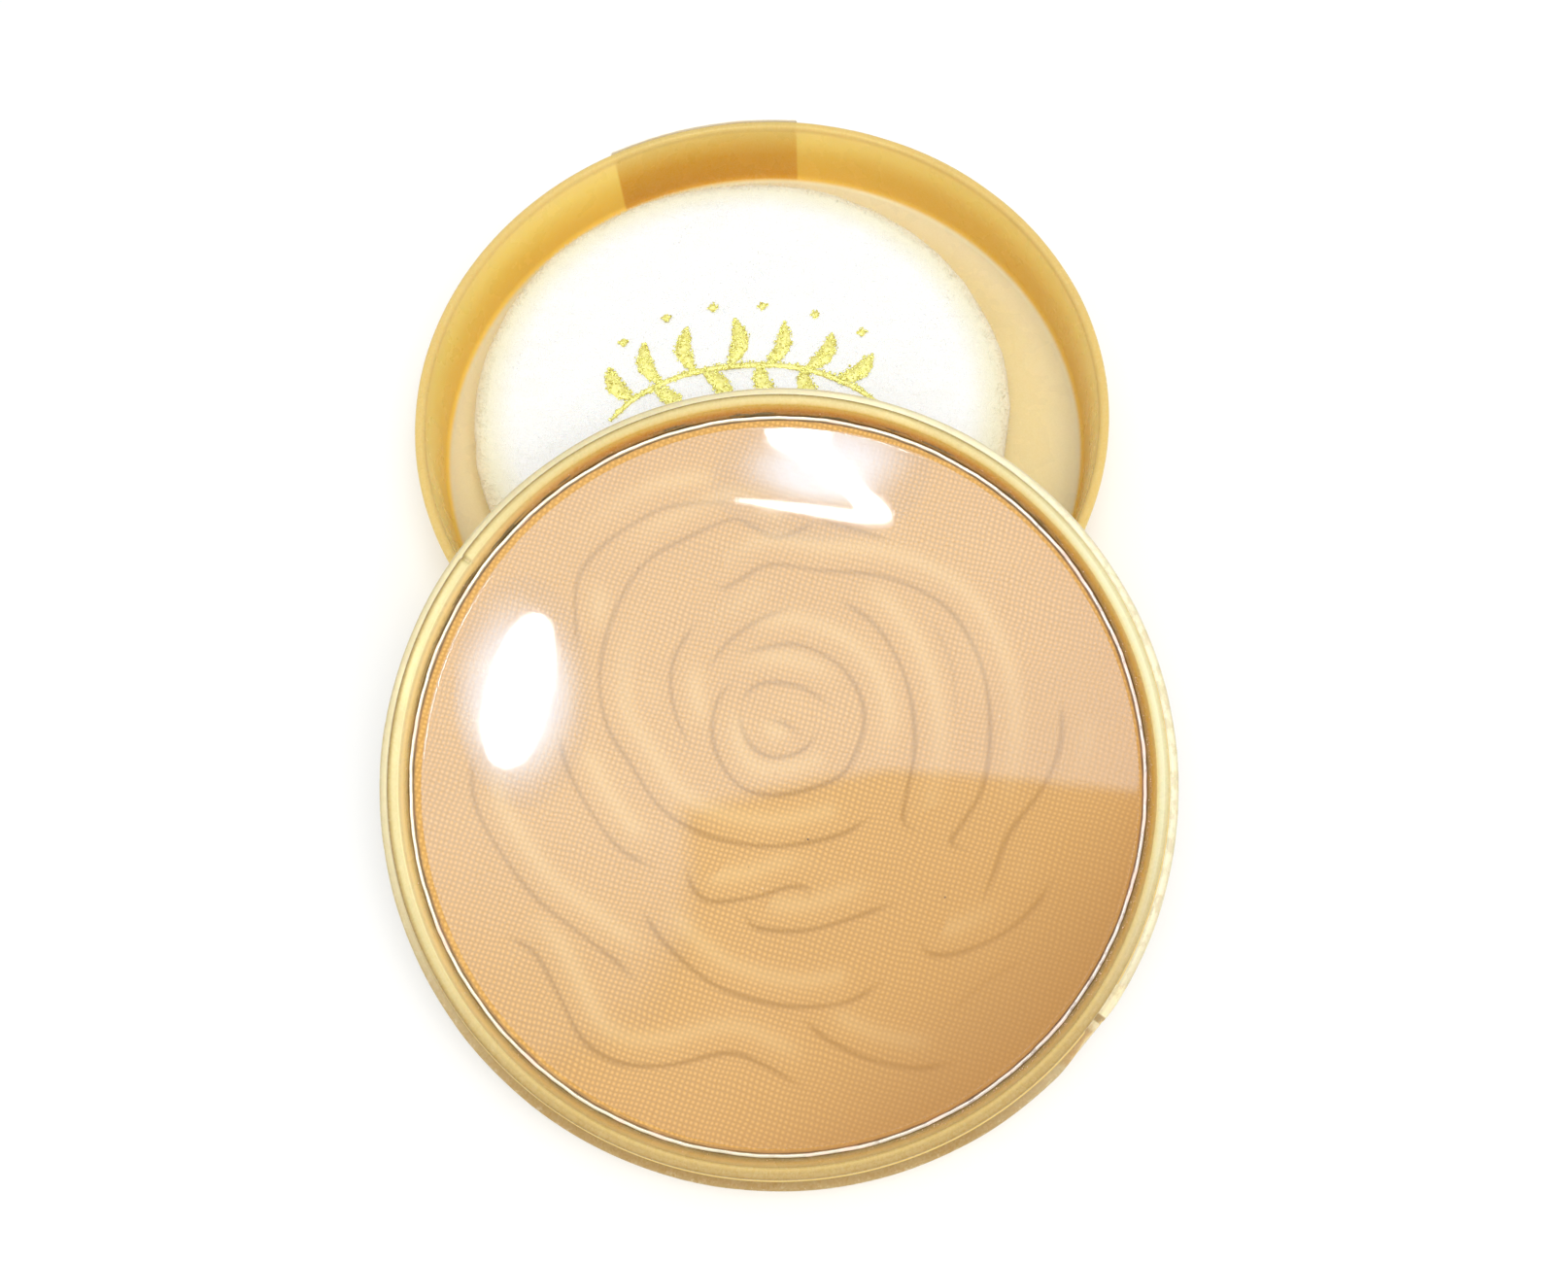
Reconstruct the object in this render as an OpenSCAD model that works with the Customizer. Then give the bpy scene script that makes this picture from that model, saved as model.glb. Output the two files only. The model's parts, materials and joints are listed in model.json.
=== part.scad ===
// Powder compact: a flat push-on lid, a base that holds a pan of pressed powder, and a round puff.
// The lid lies open side up on the table, with the puff in it.
// The base leans on the lid's near rim, powder side up, with its front edge on the table.
// The origin is at the middle of the lid's flat outer face, and +Z is up.

/* [Case] */
// Outside diameter of the lid and the base
case_d = 76; // [74:0.5:80]
// Radius of the rounded outer edge of the lid and the base
case_edge = 1.2; // [0.8:0.1:1.6]
// Angle that the base leans at, from the table
lean = 13.75; // [13:0.05:15]
// Gap between the lid's rim and the base that leans on it
lean_gap = 0.06; // [0.02:0.01:0.3]

/* [Lid] */
// Height of the lid
lid_h = 10; // [9.5:0.1:11]
// Thickness of the lid's wall at the mouth
lid_wall = 1.1; // [0.9:0.05:1.3]
// Thickness of the lid's flat face
lid_floor = 1.3; // [1:0.1:1.6]
// How far the inside of the wall leans in from the mouth to the floor
lid_draft = 0.35; // [0.1:0.05:0.5]
// Fillet between the inside of the wall and the floor
lid_fillet = 0.9; // [0.5:0.1:1.2]

/* [Side label] */
// Thickness of the paper label
label_t = 0.12; // [0.08:0.01:0.2]
// Height of the label
label_h = 8.5; // [6:0.5:8.5]
// Width of the label, measured round the wall
label_w = 22.9; // [15:0.1:30]
// Direction from the lid's middle to the label's middle
label_at = 98; // [60:1:140]

/* [Puff] */
// Diameter of the puff
puff_d = 61; // [56:0.5:62]
// Thickness of the puff
puff_h = 5; // [4:0.1:5.5]
// Thickness of one flocked face
puff_face_t = 0.8; // [0.5:0.05:1]
// How far the puff lies off the lid's middle, to the left
puff_left = 2.4; // [0:0.1:2.6]
// How far the puff lies off the lid's middle, to the back
puff_back = 2.8; // [0:0.1:2.9]

/* [Base] */
// Height of the base's outer wall, up to the shoulder
shoulder_h = 5.9; // [5.5:0.1:7]
// Height of the neck above the shoulder
neck_h = 4.1; // [3.8:0.1:4.4]
// Outside diameter of the neck
neck_d = 72.2; // [71.5:0.1:72.4]
// Diameter of the opening that the pan sits in
well_d = 69; // [68.9:0.1:69.4]
// Thickness of the base's outer wall
base_wall = 1.3; // [1.1:0.05:1.3]
// Thickness of the base's floor
base_floor = 1.2; // [1:0.1:1.4]
// Thickness of the tray's floor
tray_floor = 1; // [0.8:0.1:1.2]

/* [Neck details] */
// How far each grip rib stands out from the neck
rib_out = 0.55; // [0.3:0.05:0.6]
// Height of each grip rib
rib_h = 1; // [0.6:0.1:1.2]
// Depth of the top of the grip ribs below the rim
rib_drop = 2; // [1.5:0.1:2.2]
// Angle of each of the two gaps between the grip ribs
rib_gap = 5; // [2:1:20]
// Direction of the first of the two gaps
gap_at = 141; // [0:1:179]
// Depth of the nick in the shoulder that a nail can catch in
nick_depth = 0.35; // [0.2:0.05:0.4]

/* [Powder pan] */
// Diameter of the aluminium pan
pan_d = 68.5; // [68.2:0.1:68.5]
// Height of the pan
pan_h = 4; // [3.5:0.1:4.2]
// Thickness of the pan's metal
pan_t = 0.3; // [0.25:0.05:0.4]
// Depth of the pan's rim below the top of the neck
pan_drop = 1.4; // [1.2:0.1:1.5]
// Depth of the powder's face below the pan's rim
powder_drop = 0.25; // [0.2:0.05:0.5]
// Thickness of the glue spots under the pan
glue_t = 0.2; // [0.1:0.05:0.3]
// Diameter of one glue spot
glue_d = 9; // [6:0.5:12]

/* [Clear film] */
// Diameter of the clear film
film_d = 66.9; // [65:0.1:67]
// Thickness of the clear film
film_t = 0.2; // [0.15:0.05:0.3]
// How far the middle of the film bows up
film_bow = 0.8; // [0.4:0.1:0.9]
// How far the film lies off the pan's middle, both to the right and to the front
film_shift = 0.2; // [0:0.05:0.2]

/* [Hidden] */
$fn = 96;

case_r = case_d / 2;
lip_r = 0.45;
lid_mouth_r = case_r - lid_wall;
lid_foot_r = lid_mouth_r - lid_draft;
puff_r = puff_d / 2;
neck_r = neck_d / 2;
well_r = well_d / 2;
base_h = shoulder_h + neck_h;

// Sliding gap between the tray's skirt and the base's wall
skirt_gap = 0.1;
shell_inner_r = case_r - base_wall;
skirt_r = shell_inner_r - skirt_gap;
skirt_t = 1.3;
skirt_foot = base_floor + 0.1;
// The bead on the skirt snaps into a groove in the base's wall
bead_z = skirt_foot + 1.7;
bead_out = 0.2;
bead_h = 0.5;

pan_r = pan_d / 2;
pan_rim_z = base_h - pan_drop;
pan_foot_z = pan_rim_z - pan_h;
tray_floor_z = pan_foot_z - glue_t;
powder_z = pan_rim_z - powder_drop;
powder_gap = 0.03;
film_r = film_d / 2;
film_z = powder_z + 0.05;

// The middle of the base's flat face, as it leans with its front edge on the table
base_z = (case_r - case_edge) * sin(lean) + case_edge * (1 - cos(lean));
lip_z = lid_h - lip_r;
lip_mid_r = case_r - lip_r;
base_y = -lip_mid_r - (lip_r + lean_gap + (lip_z - base_z) * cos(lean)) / sin(lean);

// Points along an arc round a centre, from one angle to another
function arc(centre, r, from, to, steps = 6) =
    [for (i = [0:steps]) let (a = from + (to - from) * i / steps) centre + r * [cos(a), sin(a)]];

// Points along the bowed film, from its rim to its middle
function bow(r, rise, z, steps = 8) =
    let (ball_r = (r * r + rise * rise) / (2 * rise), half = asin(r / ball_r))
    [for (i = [0:steps]) let (a = half * (1 - i / steps)) [ball_r * sin(a), z + rise - ball_r * (1 - cos(a))]];

module revolve(points) {
    rotate_extrude() polygon(points);
}

// Puts a piece of the base where the base leans
module leaning() {
    translate([0, base_y, base_z]) rotate([lean, 0, 0]) children();
}

// Puts a piece of the puff where the puff lies in the lid
module lying_in_lid() {
    translate([-puff_left, puff_back, lid_floor + 0.05]) children();
}

module lid_shell() {
    color("goldenrod") revolve(concat(
        [[0, 0]],
        arc([case_r - case_edge, case_edge], case_edge, -90, 0),
        arc([case_r - lip_r, lid_h - lip_r], lip_r, 0, 90),
        arc([lid_mouth_r + lip_r, lid_h - lip_r], lip_r, 90, 180),
        arc([lid_foot_r - lid_fillet, lid_floor + lid_fillet], lid_fillet, 0, -90),
        [[0, lid_floor]]
    ));
}

module side_label() {
    label_angle = label_w / case_r * 180 / PI;
    color("ivory")
        rotate([0, 0, label_at - label_angle / 2])
        rotate_extrude(angle = label_angle)
        translate([case_r + 0.01, lid_h - label_h])
        square([label_t, label_h]);
}

module puff_back_face() {
    color("white") lying_in_lid() puff_face();
}

module puff_front_face() {
    color("white") lying_in_lid() translate([0, 0, puff_h]) mirror([0, 0, 1]) puff_face();
}

// One flocked disc that curls up round the foam, to half the puff's height
module puff_face() {
    roll = puff_h / 2;
    inner_roll = roll - puff_face_t;
    revolve(concat(
        [[0, 0]],
        arc([puff_r - roll, roll], roll, -90, -1),
        arc([puff_r - roll, roll], inner_roll, -1, -90),
        [[0, puff_face_t]]
    ));
}

module puff_core() {
    core_r = puff_h / 2 - puff_face_t - 0.05;
    middle = [puff_r - puff_h / 2, puff_h / 2];
    color("lemonchiffon") lying_in_lid() revolve(concat(
        [[0, puff_h / 2 - core_r]],
        arc(middle, core_r, -90, 90, 12),
        [[0, puff_h / 2 + core_r]]
    ));
}

module base_shell() {
    groove_gap = 0.05;
    ledge_edge = 0.3;
    color("goldenrod") leaning() difference() {
        revolve(concat(
            [[0, 0]],
            arc([case_r - case_edge, case_edge], case_edge, -90, 0),
            arc([case_r - ledge_edge, shoulder_h - ledge_edge], ledge_edge, 0, 90, 4),
            [
                [shell_inner_r, shoulder_h],
                [shell_inner_r, bead_z + bead_h + groove_gap],
                [shell_inner_r + bead_out, bead_z + bead_h + groove_gap],
                [shell_inner_r + bead_out, bead_z - groove_gap],
                [shell_inner_r, bead_z - groove_gap],
                [shell_inner_r, base_floor],
                [0, base_floor]
            ]
        ));
        shoulder_nick();
    }
}

// A shallow scoop out of the shoulder's outer corner, in line with a gap between the ribs
module shoulder_nick() {
    scoop_r = 8;
    scoop_h = 1.4;
    rotate([0, 0, gap_at + 180])
        translate([case_r + scoop_r - nick_depth, 0, shoulder_h - scoop_h])
        cylinder(h = scoop_h + 1, r = scoop_r);
}

module inner_tray() {
    neck_edge = 0.35;
    rim_inner_r = well_r + 0.4;
    lead_in = 1.2;
    color("gold") leaning() union() {
        revolve(concat(
            [
                [0, tray_floor_z - tray_floor],
                [skirt_r - skirt_t, tray_floor_z - tray_floor],
                [skirt_r - skirt_t, skirt_foot],
                [skirt_r, skirt_foot],
                [skirt_r, bead_z],
                [skirt_r + bead_out, bead_z + bead_h * 0.4],
                [skirt_r + bead_out, bead_z + bead_h * 0.6],
                [skirt_r, bead_z + bead_h],
                [skirt_r, shoulder_h],
                [neck_r, shoulder_h]
            ],
            arc([neck_r - neck_edge, base_h - neck_edge], neck_edge, 0, 90),
            [
                [rim_inner_r + 0.1, base_h],
                [rim_inner_r, base_h - 0.08],
                [well_r + 0.2, base_h - lead_in * 0.6],
                [well_r, base_h - lead_in],
                [well_r, tray_floor_z],
                [0, tray_floor_z]
            ]
        ));
        for (side = [0, 180]) rotate([0, 0, gap_at + rib_gap / 2 + side]) grip_rib();
    }
}

// A raised rib a little under half way round the neck, which grips the inside of the lid
module grip_rib() {
    top = base_h - rib_drop;
    sunk = 0.3;
    rib_slope = 0.2;
    rotate_extrude(angle = 180 - rib_gap) polygon([
        [neck_r - sunk, top - rib_h - rib_slope],
        [neck_r + rib_out, top - rib_h + rib_slope],
        [neck_r + rib_out, top - rib_slope],
        [neck_r - sunk, top + rib_slope]
    ]);
}

module powder_pan() {
    corner = 0.8;
    inner_r = pan_r - pan_t;
    color("silver") leaning() revolve(concat(
        [[0, pan_foot_z]],
        arc([pan_r - corner, pan_foot_z + corner], corner, -90, 0),
        arc([pan_r - pan_t / 2, pan_rim_z - pan_t / 2], pan_t / 2, 0, 180),
        arc([inner_r - corner + pan_t, pan_foot_z + corner], corner - pan_t, 0, -90),
        [[0, pan_foot_z + pan_t]]
    ));
}

module pan_glue() {
    ring_r = 20;
    spots = 5;
    color("linen") leaning() translate([0, 0, tray_floor_z])
        for (i = [0:spots - 1]) rotate([0, 0, i * 360 / spots + 90]) translate([ring_r, 0, 0])
            cylinder(h = glue_t, d = glue_d);
}

module powder_cake() {
    cake_r = pan_r - pan_t - powder_gap;
    foot = pan_foot_z + pan_t + powder_gap;
    corner = 0.6;
    bevel = 0.25;
    color("burlywood") leaning() revolve([
        [0, foot],
        [cake_r - corner, foot],
        [cake_r, foot + corner],
        [cake_r, powder_z - bevel],
        [cake_r - bevel, powder_z],
        [0, powder_z]
    ]);
}

module clear_film() {
    under = bow(film_r, film_bow, film_z);
    over = bow(film_r, film_bow, film_z + film_t);
    points = len(over);
    color("aliceblue", 0.3) leaning() translate([film_shift, -film_shift, 0])
        revolve(concat(under, [for (i = [1:points]) over[points - i]]));
}

lid_shell();
side_label();
puff_back_face();
puff_core();
puff_front_face();
base_shell();
inner_tray();
powder_pan();
pan_glue();
powder_cake();
clear_film();
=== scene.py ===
import json
import math

import bpy
import numpy as np
from mathutils import Matrix, Vector


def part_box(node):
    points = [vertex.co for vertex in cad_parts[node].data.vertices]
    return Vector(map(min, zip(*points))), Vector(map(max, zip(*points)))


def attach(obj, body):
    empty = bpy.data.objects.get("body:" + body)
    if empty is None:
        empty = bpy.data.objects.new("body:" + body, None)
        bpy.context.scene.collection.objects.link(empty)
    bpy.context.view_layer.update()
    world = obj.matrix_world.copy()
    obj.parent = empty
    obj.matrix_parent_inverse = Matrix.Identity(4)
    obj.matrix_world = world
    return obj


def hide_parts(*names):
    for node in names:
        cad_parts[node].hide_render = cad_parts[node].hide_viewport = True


# An open powder compact: the lid with its puff lies flat, and the base with the powder leans on the lid's rim.

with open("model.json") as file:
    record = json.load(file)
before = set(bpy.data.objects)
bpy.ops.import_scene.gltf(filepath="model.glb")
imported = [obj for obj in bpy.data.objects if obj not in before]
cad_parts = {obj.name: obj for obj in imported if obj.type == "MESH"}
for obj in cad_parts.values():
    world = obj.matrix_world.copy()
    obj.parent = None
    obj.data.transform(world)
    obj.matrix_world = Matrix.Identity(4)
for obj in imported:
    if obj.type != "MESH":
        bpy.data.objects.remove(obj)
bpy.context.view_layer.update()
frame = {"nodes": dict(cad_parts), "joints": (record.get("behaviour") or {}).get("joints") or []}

MM = 0.001
EYE = Vector((3.204, -81.794, 144.046)) * MM
EYE_TURNS = (-1.981, 68.066, -5.159)  # yaw, pitch down and roll, in degrees
LENS = 32.48


# ---- places, from the frame

def base_matrix():
    """The base's own axes: x right, y up its slope, z out of its face; origin under its middle."""
    normal = Vector(next(j for j in frame["joints"] if j["name"] == "base_lift")["axis"]).normalized()
    x_axis = Vector((1, 0, 0))
    y_axis = normal.cross(x_axis)
    points = [v.co for v in frame["nodes"]["base_shell"].data.vertices]
    spans = []
    for axis in (x_axis, y_axis, normal):
        along = [p.dot(axis) for p in points]
        spans.append((min(along), max(along)))
    m = Matrix((x_axis, y_axis, normal)).transposed().to_4x4()
    m.translation = x_axis * sum(spans[0]) / 2 + y_axis * sum(spans[1]) / 2 + normal * spans[2][0]
    return m


BASE = base_matrix()
LID = Matrix.Identity(4)
puff_lo, puff_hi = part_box("puff_front_face")
puff_back_lo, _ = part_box("puff_back_face")
PUFF = Matrix.Translation(((puff_lo[0] + puff_hi[0]) / 2, (puff_lo[1] + puff_hi[1]) / 2, puff_back_lo[2]))
PUFF_R = (puff_hi[0] - puff_lo[0]) / 2 / MM
PUFF_H = (puff_hi[2] - puff_back_lo[2]) / MM
_, lid_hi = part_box("lid_shell")
LID_R = lid_hi[0] / MM
LID_H = lid_hi[2] / MM


# ---- mesh helpers

def add_mesh(name, verts, faces, matrix=LID, smooth=40):
    """A mesh object from points in mm in the axes of matrix. Edges sharper than smooth degrees stay sharp."""
    me = bpy.data.meshes.new(name)
    me.from_pydata(np.asarray(verts, float) * MM, [], faces)
    me.validate()
    me.update()
    me.shade_smooth()
    if smooth < 180:
        me.set_sharp_from_angle(angle=math.radians(smooth))
    o = bpy.data.objects.new(name, me)
    bpy.context.scene.collection.objects.link(o)
    o.matrix_world = matrix
    return o


def mark_points(o, name, values):
    """Give every vertex a number that Shader.mark(name) reads."""
    o.data.attributes.new(name, "FLOAT", "POINT").data.foreach_set("value", values)


def arc(centre, r, start, end, steps=8):
    """Points on an arc in the (radius, height) plane."""
    out = []
    for i in range(steps + 1):
        a = math.radians(start + (end - start) * i / steps)
        out.append((centre[0] + r * math.cos(a), centre[1] + r * math.sin(a)))
    return out


def line(a, b, steps):
    """Points from a up to but not including b."""
    return [(a[0] + (b[0] - a[0]) * i / steps, a[1] + (b[1] - a[1]) * i / steps) for i in range(steps)]


def ring_angles(segments, fine=()):
    """Evenly spaced angles in degrees, with closer ones round each (middle, half width, step) in fine."""
    angles = set(np.round(np.arange(segments) * 360 / segments, 4))
    for middle, half, step in fine:
        angles |= set(np.round(np.arange(middle - half, middle + half, step) % 360, 4))
    kept = []
    for a in sorted(angles):
        if not kept or a - kept[-1] > 0.06:
            kept.append(a)
    return np.radians(np.array(kept))


def lathe(profile, angles, warp):
    """A closed solid of revolution. profile holds (radius, height); a point on the axis becomes a pole.
    warp(r, angle, z) returns new r and z."""
    rings = [p for p in profile if p[0] > 0]
    n = len(angles)
    r, z = (np.array([p[k] for p in rings])[:, None] * np.ones(n) for k in (0, 1))
    a = np.ones((len(rings), 1)) * angles
    r, z = warp(r, a, z)
    verts = np.stack([r * np.cos(a), r * np.sin(a), z], axis=-1).reshape(-1, 3)
    i = np.arange(len(rings) - 1)[:, None]
    j = np.arange(n)[None, :]
    k = (j + 1) % n
    faces = np.stack([i * n + j, i * n + k, (i + 1) * n + k, (i + 1) * n + j], axis=-1).reshape(-1, 4).tolist()
    first_pole = len(verts)
    last = (len(rings) - 1) * n
    faces += [(first_pole, (q + 1) % n, q) for q in range(n)]
    faces += [(first_pole + 1, last + q, last + (q + 1) % n) for q in range(n)]
    return np.vstack([verts, (0, 0, z[0].mean()), (0, 0, z[-1].mean())]), faces


def smooth_step(x, low, high):
    t = np.clip((x - low) / (high - low), 0, 1)
    return t * t * (3 - 2 * t)


def bump_at(angle, middle, half):
    """1 at middle degrees, falling to 0 at half degrees on either side."""
    off = (np.degrees(angle) - middle + 180) % 360 - 180
    return np.clip(1 - np.abs(off) / half, 0, 1)


def knocks(angle, places):
    """How deep small dents are at an angle. places holds each one's (middle and half width in degrees, depth)."""
    return sum(bump_at(angle, at, half) ** 2 * deep for at, half, deep in places)


def waves(x, y, seed, longest, shortest, count=7):
    """A soft uneven field of about unit height, made of a few waves in seeded directions. All in mm."""
    g = np.random.default_rng(seed)
    total = np.zeros_like(x, dtype=float)
    for _ in range(count):
        turn, phase = g.uniform(0, 2 * np.pi, 2)
        size = g.uniform(shortest, longest)
        total += np.sin((x * np.cos(turn) + y * np.sin(turn)) * 2 * np.pi / size + phase)
    return total / math.sqrt(count)


def spline(a, b, c, d, t):
    """A point between b and c on a smooth curve through a, b, c and d."""
    return 0.5 * (2 * b + (c - a) * t + (2 * a - 5 * b + 4 * c - d) * t**2 + (3 * b - a - 3 * c + d) * t**3)


def curve_points(points, step=0.3):
    """Points at even steps along a smooth curve through the given points, with the distance along it."""
    p = np.array(points, float)
    p = np.vstack([2 * p[0] - p[1], p, 2 * p[-1] - p[-2]])
    out = []
    for i in range(1, len(p) - 2):
        steps = max(2, int(np.linalg.norm(p[i + 1] - p[i]) / step))
        out += [spline(*p[i - 1 : i + 3], t) for t in np.arange(steps) / steps]
    out = np.array([*out, p[-2]])
    along = np.concatenate([[0], np.cumsum(np.linalg.norm(np.diff(out, axis=0), axis=1))])
    return out, along


def scatter(name, shape, shape_faces, places, matrix, smooth=0):
    """One mesh of many small copies. places holds (point, 3x3 matrix with the size in it)."""
    shape = np.array(shape, float)
    verts = np.concatenate([shape @ np.asarray(m).T + np.asarray(p) for p, m in places])
    starts = range(0, len(verts), len(shape))
    faces = [tuple(start + k for k in f) for start in starts for f in shape_faces]
    return add_mesh(name, verts, faces, matrix, smooth)


def random_turn(g, tilt):
    """A 3x3 turn: any heading, leaning up to tilt radians."""
    spin = g.uniform(0, 2 * np.pi)
    lean = Matrix.Rotation(g.normal(0, tilt), 3, Vector((math.cos(spin), math.sin(spin), 0)))
    return np.array(lean @ Matrix.Rotation(g.uniform(0, 2 * np.pi), 3, "Z"))


# ---- shader helpers

AROUND_R = 34.0


class Value:
    """What a node gives out. Arithmetic on it adds math nodes."""

    def __init__(self, shader, socket):
        self.shader, self.socket = shader, socket

    def __add__(self, other):
        return self.shader.math("ADD", self, other)

    def __sub__(self, other):
        return self.shader.math("SUBTRACT", self, other)

    def __mul__(self, other):
        return self.shader.math("MULTIPLY", self, other)

    def __truediv__(self, other):
        return self.shader.math("DIVIDE", self, other)


class Shader:
    """A material's nodes, made by short calls. Points are in mm in the object's own axes, bearings in degrees."""

    def __init__(self, name):
        self.mat = bpy.data.materials.new(name)
        self.mat.use_nodes = True
        self.tree = self.mat.node_tree
        self.bsdf = self.tree.nodes["Principled BSDF"]
        self.out = self.tree.nodes["Material Output"]
        metres = self.node("TexCoord", "Object", {})
        self.point = self.node("VectorMath", 0, {0: metres, "Scale": 1 / MM}, operation="SCALE")

    def put(self, socket, value):
        """Link a Value to socket, or make anything else the socket's own value."""
        if isinstance(value, Value):
            self.tree.links.new(value.socket, socket)
        elif value is not None:
            if isinstance(value, tuple) and len(value) == 3 and len(socket.default_value) == 4:
                value = (*value, 1)
            socket.default_value = value

    def node(self, kind, output, inputs, **settings):
        """The named output of a new node. inputs go to its sockets, settings to its own properties."""
        n = self.tree.nodes.new("ShaderNode" + kind)
        for key, value in settings.items():
            setattr(n, key, value)
        for key, value in inputs.items():
            self.put(n.inputs[key], value)
        return Value(self, n.outputs[output])

    def math(self, op, a, b=None):
        return self.node("Math", 0, {0: a, 1: b}, operation=op)

    def split(self, vec=None):
        x = self.node("SeparateXYZ", 0, {0: vec or self.point})
        return [Value(self, part) for part in x.socket.node.outputs]

    def stretch(self, scale, turn=0.0, vec=None):
        turn = (0, 0, math.radians(turn))
        return self.node("Mapping", 0, {0: vec or self.point, "Scale": scale, "Rotation": turn})

    def noise(self, per_mm, detail=3.0, rough=0.5, vec=None):
        inputs = {"Vector": vec or self.point, "Scale": per_mm, "Detail": detail, "Roughness": rough}
        return self.node("TexNoise", "Fac", inputs)

    def cells(self, per_mm, output="Distance"):
        return self.node("TexVoronoi", output, {"Vector": self.point, "Scale": per_mm})

    def mark(self, name):
        """The number that mark_points put on the mesh."""
        return self.node("Attribute", "Fac", {}, attribute_name=name)

    def range(self, value, low, high, to_low=0.0, to_high=1.0, soft=True):
        """value from low..high turned into to_low..to_high, and held at their ends."""
        inputs = {"Value": value, "From Min": low, "From Max": high, "To Min": to_low, "To Max": to_high}
        return self.node("MapRange", "Result", inputs, interpolation_type="SMOOTHSTEP" if soft else "LINEAR")

    def mix(self, factor, a, b):
        colour_a, colour_b, result = 6, 7, 2
        return self.node("Mix", result, {"Factor": factor, colour_a: a, colour_b: b}, data_type="RGBA")

    def over(self, colour, *layers):
        """colour with each layer's (how much, colour) laid over it in turn."""
        for share, paint in layers:
            colour = self.mix(share, colour, paint)
        return colour

    def steps(self, value, stops):
        """A colour that runs through stops of (value, colour)."""
        colour = self.node("ValToRGB", 0, {0: value})
        ramp = colour.socket.node.color_ramp
        while len(ramp.elements) < len(stops):
            ramp.elements.new(0.5)
        for e, (at, paint) in zip(ramp.elements, stops):
            e.position = at
            e.color = (*paint, 1)
        return colour

    def radius(self):
        x, y, _ = self.split()
        return self.math("SQRT", x * x + y * y)

    def around(self, stretch):
        """Points as (way round the axis, radius, height), squeezed along the way round."""
        x, y, z = self.split()
        way = self.math("ARCTAN2", y, x) * (AROUND_R / stretch)
        return self.node("CombineXYZ", 0, {0: way, 1: self.radius(), 2: z})

    def along(self, bearing):
        x, y, _ = self.split()
        a = math.radians(bearing)
        return x * math.cos(a) + y * math.sin(a)

    def toward(self, bearing, low, high, to_low=0.0, to_high=1.0):
        """range() of the cosine of the angle between a point's direction from the axis and bearing."""
        cosine = self.along(bearing) / self.math("MAXIMUM", self.radius(), 0.01)
        return self.range(cosine, low, high, to_low, to_high)

    def near_angle(self, middle, half, soft):
        """1 within half degrees of the bearing middle, over an edge of soft degrees."""
        x, y, _ = self.split()
        a = math.radians(middle)
        across = y * math.cos(a) - x * math.sin(a)
        off = self.math("ABSOLUTE", self.math("ARCTAN2", across, self.along(middle)))
        return self.range(off, math.radians(half), math.radians(half + soft), 1.0, 0.0)

    def bump(self, height, depth_mm, strength):
        inputs = {"Height": height, "Distance": depth_mm * MM, "Strength": strength}
        return self.node("Bump", "Normal", inputs)

    def finish(self, colour, roughness, normal=None, **sockets):
        """Set the surface's sockets, and return the material."""
        sockets |= {"Base_Color": colour, "Roughness": roughness, "Normal": normal}
        for key, value in sockets.items():
            self.put(self.bsdf.inputs[key.replace("_", " ")], value)
        return self.mat


# ---- materials

LABEL_AT = 98
LABEL_HALF = 17.25


def pearl_finish(s, colour, scatter_mm):
    """Moulded pearly plastic: drifting pearl, fine flake, scuffs and a faint orange peel."""
    drift = s.noise(0.09, 3, 0.6, s.stretch((1, 1, 2.5)))
    colour = s.over(
        colour,
        (s.range(drift, 0.3, 0.7, 0.0, 0.03), (0.97, 0.83, 0.52)),
        (s.cells(5.5, "Color") * 0.10, (0.99, 0.90, 0.66)),
    )
    scuff = s.noise(1.1, 6, 0.7, s.stretch((1, 9, 1), 30))
    scuff_b = s.noise(1.3, 6, 0.7, s.stretch((8, 1, 1), -20))
    worn = s.range(s.math("MAXIMUM", scuff, scuff_b), 0.62, 0.78)
    rough = s.range(s.noise(0.25, 4), 0.35, 0.65, 0.22, 0.36) + worn * 0.18
    normal = s.bump(s.noise(0.8, 2) * 0.8 + worn * -0.12, 0.03, 0.3)
    return s.finish(
        colour, rough, normal, Specular_Tint=(1.0, 0.76, 0.32), Specular_IOR_Level=0.38, Coat_Weight=0.06,
        Coat_Roughness=0.1, Subsurface_Weight=0.3, Subsurface_Radius=scatter_mm, Subsurface_Scale=MM,
    )


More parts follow.
